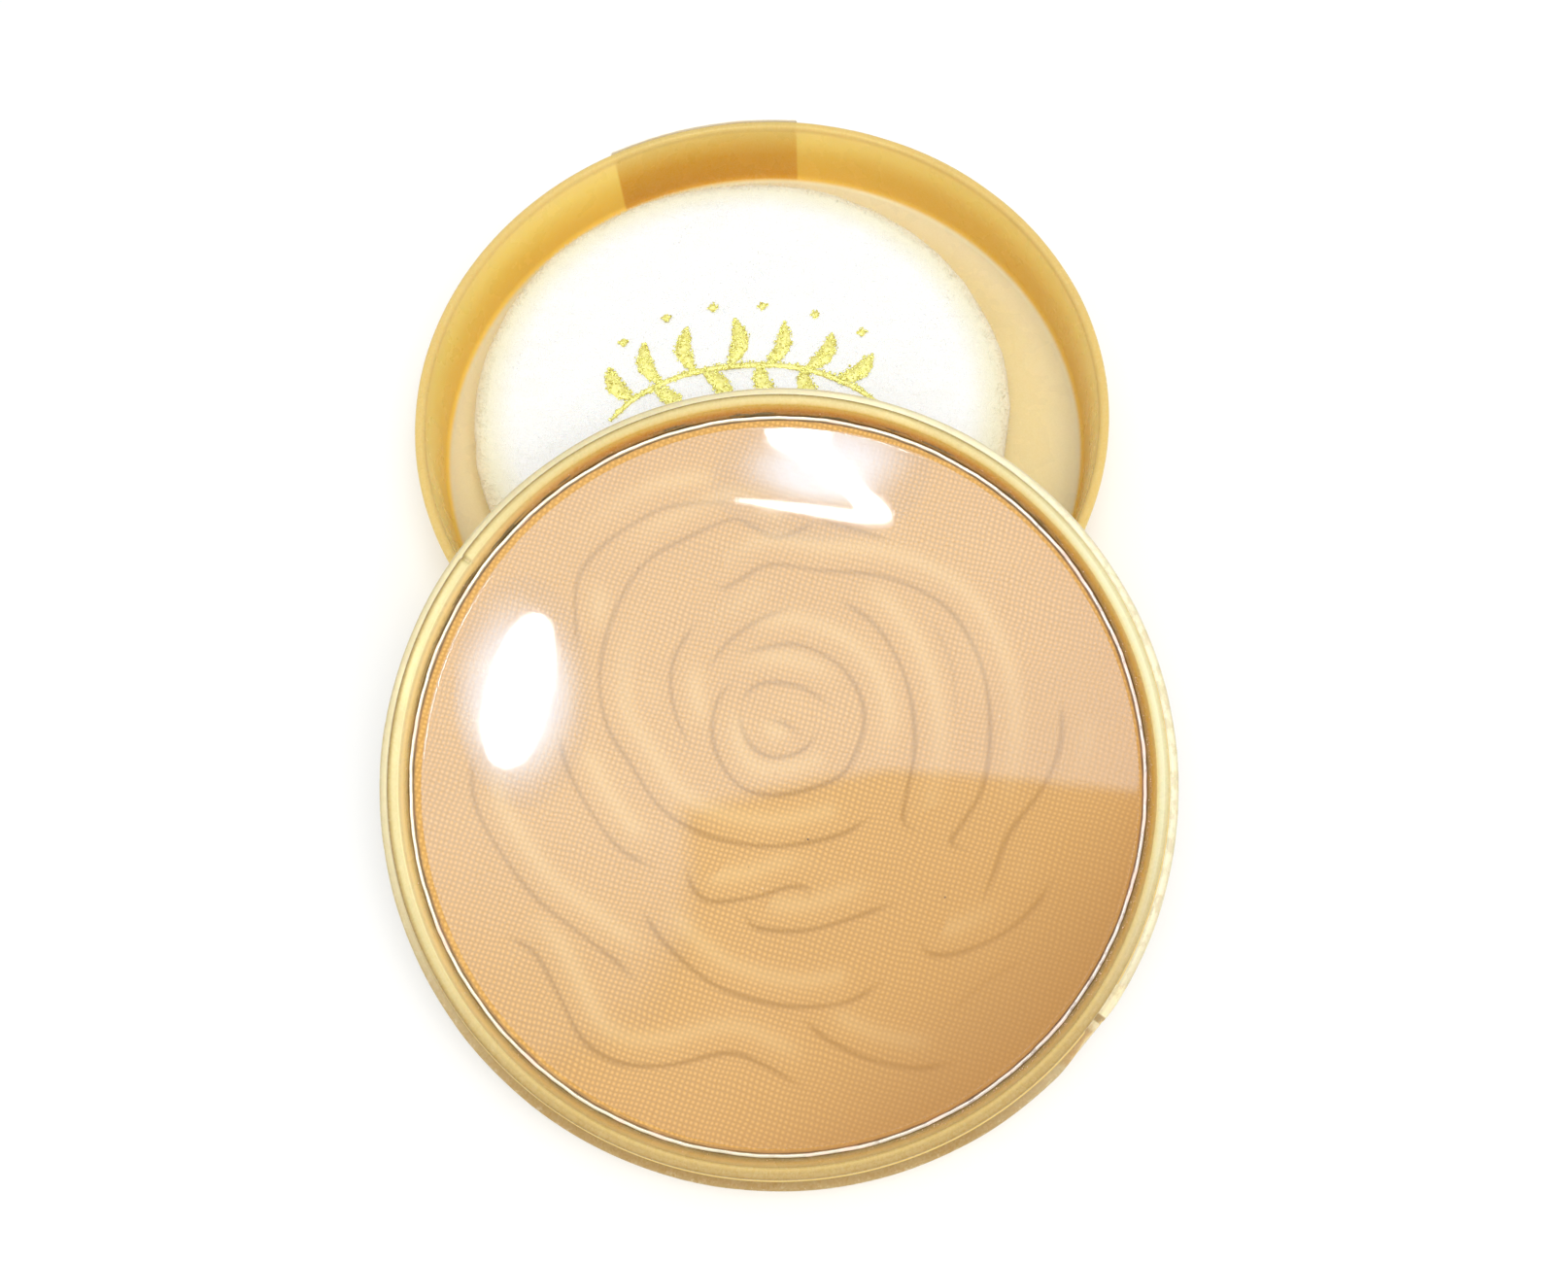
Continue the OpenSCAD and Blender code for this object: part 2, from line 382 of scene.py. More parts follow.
def lid_material():
    s = Shader("pearly_gold_lid")
    _, _, z = s.split()
    r = s.radius()
    up = s.range(z, 1.2, LID_H, soft=False)
    # The wall: paler toward the mouth and deeper gold down toward the floor, painted light and shade down the cup;
    # the last two stops darken the lip.
    wall = s.steps(up, [
        (0.0, (0.98, 0.62, 0.09)),
        (0.35, (0.99, 0.65, 0.10)),
        (0.75, (0.99, 0.72, 0.19)),
        (0.90, (0.96, 0.70, 0.22)),
        (0.96, (0.68, 0.48, 0.15)),
        (1.0, (0.60, 0.42, 0.13)),
    ])
    # Painted shadow of the label: the wall is darker where the label on its outside keeps light from shining
    # through.
    label_shadow = s.steps(up, [
        (0.0, (0.72, 0.35, 0.03)),
        (0.50, (0.76, 0.39, 0.035)),
        (0.72, (0.80, 0.48, 0.08)),
        (0.90, (0.80, 0.55, 0.14)),
        (0.96, (0.64, 0.44, 0.13)),
        (1.0, (0.58, 0.40, 0.12)),
    ])
    # The floor, paler than the wall: painted light on the face that looks up, and paler still toward the wall to
    # offset the orange light the wall bounces onto it.
    floor = s.over(
        s.mix(s.range(s.noise(0.05, 2), 0.35, 0.65), (0.68, 0.545, 0.27), (0.73, 0.59, 0.31)),
        (s.range(r, LID_R - 7.0, LID_R - 2.0), (0.72, 0.62, 0.40)),
    )
    colour = s.over(
        wall,
        # painted shade: darker amber on the right of the wall, strongest low down
        (s.toward(20, 0.1, 0.9) * s.range(up, 0.3, 0.9, 0.42, 0.06), (0.50, 0.27, 0.02)),
        (s.near_angle(LABEL_AT, LABEL_HALF - 0.3, 0.6) * s.range(z, 1.4, 1.7), label_shadow),
        (s.range(r + z, LID_R - 0.7, LID_R + 0.1, 1.0, 0.0), floor),
    )
    return pearl_finish(s, colour, (3.0, 1.8, 0.7))


# Colours from the well's wall out over the neck's rim: at the left, the right, the back and the front. They hold
# painted light and shade: dark in the well and, except at the right, at the rim's outer edge, as painted shade;
# pale over the rim's top at the left, right and back, as painted sheen; darker there at the front, as painted
# shade.
NECK_LIT_COLOURS = [
    (0.00, (0.32, 0.17, 0.04), (0.28, 0.14, 0.04), (0.22, 0.08, 0.01), (0.22, 0.13, 0.05)),
    (0.125, (0.56, 0.32, 0.09), (0.42, 0.19, 0.03), (0.46, 0.16, 0.01), (0.28, 0.15, 0.03)),
    (0.19, (0.68, 0.45, 0.15), (0.48, 0.22, 0.02), (0.46, 0.16, 0.01), (0.44, 0.25, 0.06)),
    (0.25, (0.87, 0.66, 0.28), (0.60, 0.32, 0.03), (0.56, 0.24, 0.02), (0.62, 0.38, 0.10)),
    (0.325, (0.80, 0.64, 0.32), (0.66, 0.41, 0.10), (0.64, 0.39, 0.07), (0.60, 0.42, 0.15)),
    (0.375, (0.77, 0.68, 0.37), (0.65, 0.49, 0.20), (0.52, 0.31, 0.05), (0.39, 0.25, 0.07)),
    (0.45, (0.66, 0.57, 0.30), (0.66, 0.58, 0.31), (0.58, 0.41, 0.14), (0.58, 0.41, 0.14)),
    (0.62, (0.66, 0.58, 0.30), (0.74, 0.73, 0.50), (0.62, 0.51, 0.23), (0.44, 0.30, 0.10)),
    (0.76, (0.48, 0.36, 0.13), (0.68, 0.64, 0.40), (0.55, 0.43, 0.18), (0.43, 0.29, 0.10)),
    (0.85, (0.29, 0.19, 0.06), (0.58, 0.50, 0.26), (0.30, 0.22, 0.06), (0.32, 0.20, 0.05)),
    (1.00, (0.29, 0.19, 0.06), (0.62, 0.52, 0.26), (0.24, 0.16, 0.04), (0.22, 0.13, 0.03)),
]


def neck_colour(s, r, z):
    across = s.range(r, 34.2, 36.2, soft=False)
    left, right, far, near = (s.steps(across, [(row[0], row[k]) for row in NECK_LIT_COLOURS]) for k in (1, 2, 3, 4))
    # The table's left and right columns blend across the sides, and the back's and front's lie over them toward
    # those bearings, so its painted light and shade follow where light falls on the rim.
    sides = s.mix(s.toward(0, -0.3, 0.3), left, right)
    dash = s.range(s.noise(1.6, 3, 0.6, s.around(5)), 0.50, 0.56) * s.range(r, 34.50, 34.64, 1.0, 0.0)
    return s.over(
        s.mix(s.toward(88, 0.45, 0.95), sides, far),
        (s.toward(275, 0.1, 0.85), near),
        (dash * s.toward(95, 0.2, 0.8, 0.25, 1.0), (0.06, 0.03, 0.01)),
        # painted shade: darker down the slope into the well
        (s.range(z, 8.0, 9.0, 0.6, 0.0), (0.40, 0.24, 0.06)),
        (s.range(r, 35.8, 36.0) * s.range(z, 8.9, 9.5, 1.0, 0.0), (0.68, 0.47, 0.15)),
    )


def bowl_colour(s, r, z):
    wall = s.steps(s.range(z, 0.0, 5.6, soft=False), [
        (0.0, (0.72, 0.52, 0.20)),
        (0.25, (0.66, 0.44, 0.13)),
        (0.85, (0.68, 0.46, 0.15)),
        (1.0, (0.72, 0.54, 0.22)),
    ])
    stains = s.range(s.noise(1.0, 5, 0.7, s.around(1.6)), 0.46, 0.60, 0.0, 0.35)
    ledge = s.over(
        # The ledge holds painted light and shade: paler toward the right, as painted sheen; darker toward the front
        # and at the rounded outer edge, as painted shade.
        s.mix(s.toward(350, -0.5, 0.8), (0.74, 0.68, 0.46), (0.88, 0.86, 0.68)),
        (s.toward(262, 0.2, 0.9), (0.34, 0.21, 0.07)),
        (s.range(r, 37.35, 37.8, 0.0, 0.35), (0.34, 0.24, 0.10)),
        # the nail nick's two ramps and the step between them, in painted light: a painted highlight on one ramp,
        # painted shadow on the step, a pale strip beside it, and painted shade down the other ramp
        (s.near_angle(322.6, 2.4, 0.8) * 0.7, (0.86, 0.78, 0.54)),
        (s.near_angle(319.6, 0.5, 0.35), (0.30, 0.20, 0.09)),
        (s.near_angle(318.4, 0.55, 0.3), (0.76, 0.66, 0.46)),
        (s.near_angle(314.6, 2.6, 1.4) * 0.9, (0.42, 0.25, 0.10)),
        (stains * s.toward(330, 0.0, 0.7, 0.3, 1.0), (0.40, 0.30, 0.14)),
    )
    scrapes = s.range(s.noise(1.3, 5, 0.75, s.stretch((1, 1, 3))), 0.52, 0.62) * 0.4
    edge = s.range(r, 37.3, 37.8) * s.range(z, 5.0, 5.6)
    return s.over(wall, (s.range(z, 5.45, 5.8), ledge), (edge * scrapes, (0.70, 0.62, 0.46)))


def base_material(name, colour_of):
    s = Shader(name)
    _, _, z = s.split()
    lines = s.noise(1.0, 3, 0.6, s.stretch((0.0, 5.0, 0.6), vec=s.around(1)))
    colour = colour_of(s, s.radius(), z)
    colour = s.mix(s.range(lines, 0.40, 0.60, 0.0, 0.24), colour, (0.30, 0.20, 0.07))
    return pearl_finish(s, colour, (2.0, 1.1, 0.35))


def pan_material():
    s = Shader("pressed_aluminium")
    spots = s.noise(1.5, 4, 0.75, s.around(2.2))
    right = s.toward(345, 0.0, 0.9)
    dark = s.range(spots, 0.54, 0.62) * s.range(right, 0.0, 1.0, 0.2, 0.55)
    dusty = s.range(s.noise(0.8, 4, 0.6, s.around(2)), 0.50, 0.62)
    colour = s.over(
        s.mix(right, (0.80, 0.72, 0.53), (0.76, 0.65, 0.56)),
        (dark, (0.30, 0.20, 0.15)),
        (dusty * 0.6, (0.90, 0.66, 0.55)),
    )
    scratches = s.noise(2.0, 5, 0.7, s.around(14))
    rough = s.range(scratches, 0.3, 0.7, 0.28, 0.45) + dusty * 0.3
    normal = s.bump(scratches + spots, 0.03, 0.6)
    return s.finish(colour, rough, normal, Metallic=s.range(dusty, 0.0, 1.0, 0.5, 0.15))


WEAVE_TURN = 20
WEAVE_MM = 0.466


def powder_material():
    """Powder with the weave of its pressing cloth. Its colour holds painted shade in the pressed grooves, at the
    cake's edge and darker toward the lower right, and a painted highlight along the petal ridges.
    """
    s = Shader("pressed_powder")
    r = s.radius()
    x, y, _ = s.split(s.stretch((1, 1, 1), WEAVE_TURN))
    wobble = s.noise(0.16, 2) * 1.2
    per = 2 * math.pi / WEAVE_MM
    across = s.math("SINE", (x + wobble) * per)
    along = s.math("SINE", (y - wobble) * per)
    px, py, _ = s.split()
    low_right = px * 0.643 - py * 0.766
    weave = (across * along * 0.40 + (across + along) * 0.42) * s.range(low_right, -10.0, 14.0, 0.86, 0.92)
    grain = s.noise(7.0, 4, 0.7)
    cloud = s.range(s.noise(0.07, 3, 0.5), 0.3, 0.7)
    rim = s.range(r, 33.2, 33.5) * s.toward(215, 0.3, 0.9, 0.0, 0.25)
    flecks = s.range(s.noise(1.2, 4, 0.7, s.around(2)), 0.5, 0.62)
    colour = s.over(
        s.mix(cloud, (0.825, 0.473, 0.127), (0.795, 0.452, 0.113)),
        (s.range(grain, 0.3, 0.7, 0.0, 0.10), (0.52, 0.25, 0.07)),
        (s.range(weave, -0.45, 1.0, 0.62, 0.0, soft=False), (0.37, 0.18, 0.035)),
        # painted shade in the pressed grooves, weaker toward the upper left where light falls into them
        (s.mark("groove") * s.range(low_right, -10.0, 14.0, 0.62, 0.92), (0.37, 0.18, 0.012)),
        # painted highlight along the petal ridges
        (s.mark("ridge") * 0.34, (0.80, 0.54, 0.22)),
        # painted shade at the cake's edge, down beside the pan's wall
        (s.range(r, 33.72, 33.9, 0.0, 0.8), (0.30, 0.17, 0.07)),
        (rim * flecks, (0.80, 0.50, 0.17)),
        # painted shade: darker toward the lower right
        (s.range(px - py, -6.0, 44.0, 0.0, 0.42), (0.50, 0.235, 0.045)),
        (s.range(low_right, 20.0, 34.0, 0.0, 0.5), (0.36, 0.16, 0.03)),
    )
    normal = s.bump(weave * 0.8 + grain * 0.5, 0.022, 0.7)
    return s.finish(colour, 0.82, normal, Sheen_Weight=0.12, Sheen_Roughness=0.5)


def film_material():
    s = Shader("clear_film")
    s.mat.surface_render_method = "BLENDED"
    smear = s.noise(0.12, 5, 0.6, s.stretch((1, 2.5, 1), 25))
    fine = s.noise(2.2, 5, 0.7, s.stretch((1, 12, 1), 35))
    rough = s.range(smear, 0.35, 0.7, 0.035, 0.055) + s.range(fine, 0.70, 0.82, 0.0, 0.03)
    colour = s.mix(s.range(smear, 0.4, 0.6), (0.76, 0.88, 1.0), (0.82, 0.91, 1.0))
    s.finish(colour, rough, s.bump(s.noise(0.25, 1), 0.01, 0.12), Metallic=1.0)
    facing = s.node("LayerWeight", "Facing", {"Blend": 0.5})
    scratches = s.range(s.noise(1.4, 6, 0.75, s.stretch((1, 22, 1), -15)), 0.70, 0.80, 0.0, 0.05)
    mirror = s.math("POWER", facing, 5.0) * 0.9 + 0.043 + scratches
    clear = s.node("BsdfTransparent", 0, {})
    both = s.node("MixShader", 0, {0: mirror, 1: clear, 2: Value(s, s.bsdf.outputs[0])})
    s.put(s.out.inputs["Surface"], both)
    return s.mat


def glue_material():
    s = Shader("hot_melt_glue")
    cloud = s.noise(0.5, 4)
    colour = s.mix(s.range(cloud, 0.3, 0.7), (0.84, 0.78, 0.62), (0.92, 0.89, 0.80))
    rough = s.range(cloud, 0.3, 0.7, 0.15, 0.35)
    return s.finish(colour, rough, s.bump(cloud, 0.1, 0.6), Subsurface_Weight=0.2,
                    Subsurface_Radius=(1.0, 0.9, 0.7), Subsurface_Scale=MM)


def flock_material():
    s = Shader("white_flock")
    r = s.radius()
    nap = s.noise(4.5, 5, 0.75)
    brushed = s.noise(0.22, 4, 0.6, s.stretch((1, 2.2, 1), 15))
    colour = s.over(
        s.mix(s.range(brushed, 0.35, 0.65), (0.97, 0.965, 0.95), (0.945, 0.935, 0.91)),
        (s.range(nap, 0.35, 0.7, 0.0, 0.12), (0.78, 0.72, 0.64)),
        # painted warm glow: creamier toward the rim, and yellower at the very edge
        (s.range(r, PUFF_R - 5.5, PUFF_R - 1.2, 0.0, 0.85), (0.86, 0.80, 0.56)),
        (s.range(r, PUFF_R - 1.8, PUFF_R - 0.3, 0.0, 0.5), (0.86, 0.74, 0.48)),
    )
    normal = s.bump(s.cells(7.0) + nap * 1.5, 0.12, 0.8)
    return s.finish(colour, 0.95, normal, Sheen_Weight=0.7, Sheen_Roughness=0.35, Subsurface_Weight=0.15,
                    Subsurface_Radius=(1.0, 0.8, 0.6), Subsurface_Scale=MM)


def foam_material():
    s = Shader("soft_foam")
    pores = s.cells(2.2)
    colour = s.mix(s.range(pores, 0.1, 0.6), (0.70, 0.60, 0.38), (0.90, 0.84, 0.62))
    return s.finish(colour, 0.95, s.bump(pores, 0.3, 0.9))


def paper_material():
    s = Shader("label_paper")
    fibre = s.noise(2.5, 6, 0.7, s.stretch((1, 1, 3)))
    _, _, z = s.split()

    def band(at):
        flat = s.range(s.math("ABSOLUTE", z - at), 0.1, 0.16, 1.0, 0.0)
        return flat * s.near_angle(LABEL_AT, LABEL_HALF - 1.6, 0.2)

    colour = s.over(
        s.mix(s.range(fibre, 0.3, 0.7), (0.82, 0.77, 0.66), (0.90, 0.87, 0.79)),
        (s.range(s.noise(0.2, 4, 0.6), 0.5, 0.7, 0.0, 0.35), (0.80, 0.62, 0.36)),
        (s.math("MAXIMUM", band(9.05), band(2.45)), (0.62, 0.42, 0.12)),
    )
    return s.finish(colour, 0.75, s.bump(fibre, 0.03, 0.6))


def glitter_material():
    s = Shader("gold_glitter")
    hue = s.noise(3.5, 3, 0.7)
    colour = s.mix(s.range(hue, 0.3, 0.7), (0.62, 0.50, 0.07), (0.93, 0.85, 0.28))
    return s.finish(colour, s.range(hue, 0.3, 0.7, 0.22, 0.4), Metallic=0.75)


def ink_material():
    s = Shader("gold_print")
    hue = s.noise(2.5, 4, 0.7)
    colour = s.mix(s.range(hue, 0.3, 0.7), (0.74, 0.64, 0.14), (0.88, 0.80, 0.32))
    return s.finish(colour, s.range(hue, 0.3, 0.7, 0.35, 0.6), s.bump(s.noise(4.0, 3), 0.05, 0.8), Metallic=0.45)


def patchy_material(name, tone, low, high, dark, light, rough, grain, depth_mm, strength):
    """Two colours in patches, with a grain. tone and grain are what noise() is given."""
    s = Shader(name)
    colour = s.mix(s.range(s.noise(*tone), low, high), dark, light)
    return s.finish(colour, rough, s.bump(s.noise(*grain), depth_mm, strength))


# ---- lid

EDGE = 1.2


def cup_foot():
    """The profile of the under side that both halves share: a moulding dimple, a flat and a round edge."""
    flat = line((1.4, 0), (LID_R - EDGE, 0), 10)
    return [(0, 0.12), (0.7, 0.12), (0.95, 0.0), *flat, *arc((LID_R - EDGE, EDGE), EDGE, -90, 0, 10)]


def make_lid():
    wall, floor, draft, fillet, lip = 1.1, 1.3, 0.35, 0.9, 0.45
    mouth = LID_R - wall
    foot = mouth - draft
    profile = cup_foot()
    profile += line((LID_R, EDGE + 0.4), (LID_R, LID_H - lip - 0.3), 8)
    profile += arc((LID_R - lip, LID_H - lip), lip, 0, 90)
    profile += arc((mouth + lip, LID_H - lip), lip, 90, 180)
    profile += line((mouth - 0.02, LID_H - lip - 0.3), (foot, floor + fillet), 9)
    profile += arc((foot - fillet, floor + fillet), fillet, 0, -90)
    profile += [*line((foot - fillet - 0.6, floor), (0, floor), 16), (0, floor)]
    dings = [(207, 1.2, 0.10), (331, 0.8, 0.08)]

    def warp(r, a, z):
        x, y = r * np.cos(a), r * np.sin(a)
        inner = (z > floor - 0.2) & (r < foot - 0.4)
        z = z + inner * (0.028 * waves(x, y, 3, 40, 18) - 0.03)
        z = z + (z > LID_H - 0.4) * 0.02 * (waves(x, y, 5, 20, 6) - 1.5)
        return r, z - knocks(a, dings) * smooth_step(z, LID_H - 0.6, LID_H)

    angles = ring_angles(360, [(207, 1.5, 0.2), (331, 1.2, 0.2)])
    cup = add_mesh("lid_cup", *lathe(profile, angles, warp))
    cup.data.materials.append(lid_material())
    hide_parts("lid_shell")
    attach(cup, "lid")


def make_label():
    """The paper label on the lid's wall. Its upper corners curl, and one end stands a hair above the wall."""
    thick, gap, tall, corner = 0.12, 0.012, 8.5, 0.05
    u, v = np.meshgrid(np.linspace(-1, 1, 97), np.linspace(0, 1, 29))
    edge_in = np.clip((np.abs(v - 0.5) * 2 - (1 - corner * 2)) / (corner * 2), 0, 1)
    half = math.radians(LABEL_HALF) * (1 - 0.022 * edge_in**2)
    a = math.radians(LABEL_AT) - u * half
    lift = smooth_step(u, 0.1, 1.0) * 0.03
    z = LID_H - tall + tall * v + lift * v
    curl = 0.05 * smooth_step(np.abs(u), 0.9, 1.0) ** 2 * smooth_step(v, 0.6, 1.0)
    r_in = LID_R + gap + curl + 0.006 * waves(u * 11, v * 8, 8, 9, 4)
    sheets = [np.stack([r * np.cos(a), r * np.sin(a), z], -1).reshape(-1, 3) for r in (r_in, r_in + thick)]
    rows, cols = u.shape
    faces = []
    n = rows * cols
    for i in range(rows - 1):
        for j in range(cols - 1):
            q = (i * cols + j, i * cols + j + 1, (i + 1) * cols + j + 1, (i + 1) * cols + j)
            faces += [q, tuple(n + k for k in reversed(q))]
    grid = np.arange(n).reshape(rows, cols)
    rim = [*grid[0], *grid[1:, -1], *grid[-1, -2::-1], *grid[-2:0:-1, 0]]
    faces += [(q, p, n + p, n + q) for p, q in zip(rim, rim[1:] + rim[:1])]
    label = add_mesh("lid_label", np.vstack(sheets), faces)
    label.data.materials.append(paper_material())
    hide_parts("side_label")
    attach(label, "lid")


# ---- puff

PUFF_ROLL = 2.2


def puff_top(r):
    """Height of the puff's upper face at radius r, in mm."""
    crown = PUFF_H - 0.35 * (r / PUFF_R) ** 2 - 0.25 * smooth_step(r, PUFF_R - 7, PUFF_R - 2)
    fall = np.clip((r - (PUFF_R - PUFF_ROLL)) / PUFF_ROLL, 0, 1)
    return PUFF_H / 2 + (crown - PUFF_H / 2) * np.sqrt(np.clip(1 - fall**2.2, 0, 1))


def puff_edge(a):
    """How the puff's outline strays from a circle, in mm, by angle."""
    return 0.16 * np.sin(2 * a + 0.7) + 0.10 * np.sin(5 * a + 2.1) + 0.05 * np.sin(11 * a + 0.4) - 0.06


def make_puff():
    round_edge = 3.2
    closer = round_edge * np.sin(np.linspace(0.08, 1, 15) * np.pi / 2)
    radii = np.concatenate([np.linspace(0.8, PUFF_R - round_edge, 44), PUFF_R - round_edge + closer])
    top = [(r, float(puff_top(r))) for r in radii]
    low = [(r, PUFF_H - float(puff_top(r))) for r in radii[:-1]]
    seam = [(PUFF_R - deep, PUFF_H / 2 + up) for deep, up in ((0.22, -0.12), (0.34, 0), (0.22, 0.12))]
    profile = [(0, 0.02), *low, *seam, *top[-2::-1], (0, PUFF_H)]

    def warp(r, a, z):
        x, y = r * np.cos(a), r * np.sin(a)
        share = (r / PUFF_R) ** 2
        r = r + puff_edge(a) * share + 0.05 * share * waves(x, y, 12, 7, 2.5)
        upper = smooth_step(z, PUFF_H / 2 + 0.6, PUFF_H - 0.5)
        dips = 0.10 * waves(x, y, 9, 26, 10) + 0.02 * waves(x, y, 10, 4, 1.6)
        z = z + upper * (dips - 0.14)
        return r, np.maximum(z, 0.05 + 0.02 * waves(x, y, 4, 9, 4) * (z < 1))

    puff = add_mesh("puff_velour", *lathe(profile, ring_angles(320), warp), PUFF, smooth=180)
    flock = flock_material()
    puff.data.materials.append(flock)
    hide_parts("puff_front_face", "puff_back_face")
    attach(puff, "puff")

    # short fibres, dense round the edge and sparse over the face
    count, at_edge, wide = 9500, 5200, 0.055
    g = np.random.default_rng(31)
    thin = [(-0.5, -0.29, 0), (0.5, -0.29, 0), (0, 0.58, 0), (0, 0, 1)]
    faces = [(0, 2, 1), (0, 1, 3), (1, 2, 3), (2, 0, 3)]
    places = []
    for i in range(count):
        a = g.uniform(0, 2 * np.pi)
        edge = i < at_edge
        turn = g.uniform(0.12, 1.0) * np.pi / 2 if edge else 0
        if edge:
            r = PUFF_R - PUFF_ROLL + PUFF_ROLL * math.sin(turn) + float(puff_edge(a)) - 0.12
            z = PUFF_H / 2 + (PUFF_H * 0.88 / 2) * math.cos(turn) * (1 if g.random() < 0.93 else -1) - 0.1
            out = Vector((math.cos(a) * math.sin(turn), math.sin(a) * math.sin(turn), math.cos(turn)))
            long = g.uniform(0.25, 0.55)
        else:
            r = math.sqrt(g.random()) * (PUFF_R - 2.5)
            z = float(puff_top(r)) - 0.32
            out = Vector((0, 0, 1))
            long = g.uniform(0.4, 0.6)
        out = (out + Vector(g.normal(0, 0.33, 3))).normalized()
        if out.z < -0.2 or z < 0.6:
            out.z = abs(out.z)
        basis = np.array(out.to_track_quat("Z", "Y").to_matrix())
        places.append(((r * math.cos(a), r * math.sin(a), z), basis @ np.diag([wide, wide, long])))
    fuzz = scatter("puff_fibres", thin, faces, places, PUFF, smooth=60)
    fuzz.data.materials.append(flock)
    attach(fuzz, "puff")


def sprig_strokes():
    """A branch with leaves and berries. Each stroke is (points, half width, is a leaf) in mm on the puff's face."""
    branch = [(-14.5, -2.5), (-11.5, 0.3), (-6.0, 2.8), (0.5, 3.6), (7.0, 2.8), (12.0, 0.6), (15.5, -2.2)]
    leaves = [
        ((-12.0, 0.0), (-14.6, 4.2)), ((-8.8, 1.8), (-10.6, 7.2)), ((-5.0, 3.1), (-5.6, 9.0)),
        ((-0.9, 3.6), (0.0, 9.8)), ((3.4, 3.4), (5.6, 8.9)), ((7.6, 2.5), (11.0, 7.0)), ((11.2, 1.0), (15.4, 4.0)),
        ((-9.6, 1.3), (-6.6, -2.8)), ((-4.0, 3.2), (-1.2, -1.4)), ((2.4, 3.5), (4.6, -1.2)),
        ((7.4, 2.6), (9.2, -2.0)),
    ]
    berries = [(-8.0, 10.6), (-2.6, 11.6), (3.2, 11.4), (9.2, 9.8), (14.4, 7.0), (-13.0, 7.6)]
    strokes = [(branch, 0.38, False)]
    for base, tip in leaves:
        b, t = np.array(base), np.array(tip)
        bend = np.array([-(t - b)[1], (t - b)[0]]) * (0.14 if t[0] < 0 else -0.14)
        strokes.append(([b, b * 0.5 + t * 0.5 + bend, t], 0.95, True))
    return strokes + [([(x - 0.5, y), (x + 0.5, y + 0.1)], 0.55, True) for x, y in berries]


def make_sprig():
    """The sprig printed on the puff, with glitter flakes in the print."""
    g = np.random.default_rng(44)
    flakes, verts, faces = [], [], []
    # across the stroke: how far out and how high, in half widths and mm
    ribbon = ((-1, -0.12), (-0.7, 0.06), (0, 0.11), (0.7, 0.06), (1, -0.12))
    n = len(ribbon)
    hexagon = [(1, 0, 0), (0.5, 0.87, 0), (-0.5, 0.87, 0), (-1, 0, 0), (-0.5, -0.87, 0), (0.5, -0.87, 0)]
    flake = [*hexagon, (0, 0, 0.35), (0, 0, -0.35)]
    flake_faces = [(k, (k + 1) % 6, 6) for k in range(6)] + [((k + 1) % 6, k, 7) for k in range(6)]
    for points, half, leaf in sprig_strokes():
        path, along = curve_points(points)
        total = along[-1]
        ahead = np.gradient(path, axis=0)
        ahead /= np.linalg.norm(ahead, axis=1)[:, None] + 1e-9
        side = np.stack([-ahead[:, 1], ahead[:, 0]], 1)
        share = 2 * np.clip(along / total, 0, 1) - 1
        ends = np.clip(1 - np.abs(share) ** (2.2 if leaf else 8), 0.04, 1) ** (0.8 if leaf else 0.5)
        # the printed stroke: a low rounded ribbon
        start = len(verts)
        for k, p in enumerate(path):
            w = half * ends[k] * (1 + 0.10 * math.sin(k * 1.7))
            for off, up in ribbon:
                q = p + side[k] * off * w
                verts.append((q[0], q[1], float(puff_top(np.hypot(*q))) - 0.03 + up))
        last = start + (len(path) - 1) * n
        for a in range(start, last, n):
            b = a + n
            faces += [(a + m + 1, a + m, b + m, b + m + 1) for m in range(n - 1)]
            faces.append((a, b - 1, b + n - 1, b))
        faces += [tuple(range(start, start + n)), tuple(reversed(range(last, last + n)))]
        for _ in range(int(8 + total * half * 34)):
            k = g.integers(0, len(path))
            q = path[k] + side[k] * half * ends[k] * g.uniform(-1.15, 1.15) + g.normal(0, 0.06, 2)
            z = float(puff_top(np.hypot(*q))) + g.uniform(0.0, 0.12)
            size = g.uniform(0.07, 0.17)
            flakes.append(((q[0], q[1], z), random_turn(g, 0.45) * size))
    ink = add_mesh("puff_print", verts, faces, PUFF, smooth=60)
    ink.data.materials.append(ink_material())
    glitter = scatter("puff_glitter", flake, flake_faces, flakes, PUFF)
    glitter.data.materials.append(glitter_material())
    for o in (ink, glitter):
        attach(o, "puff")


# ---- base

SHOULDER = 5.9
NECK_TOP = 10.0
GAP_AT = 141


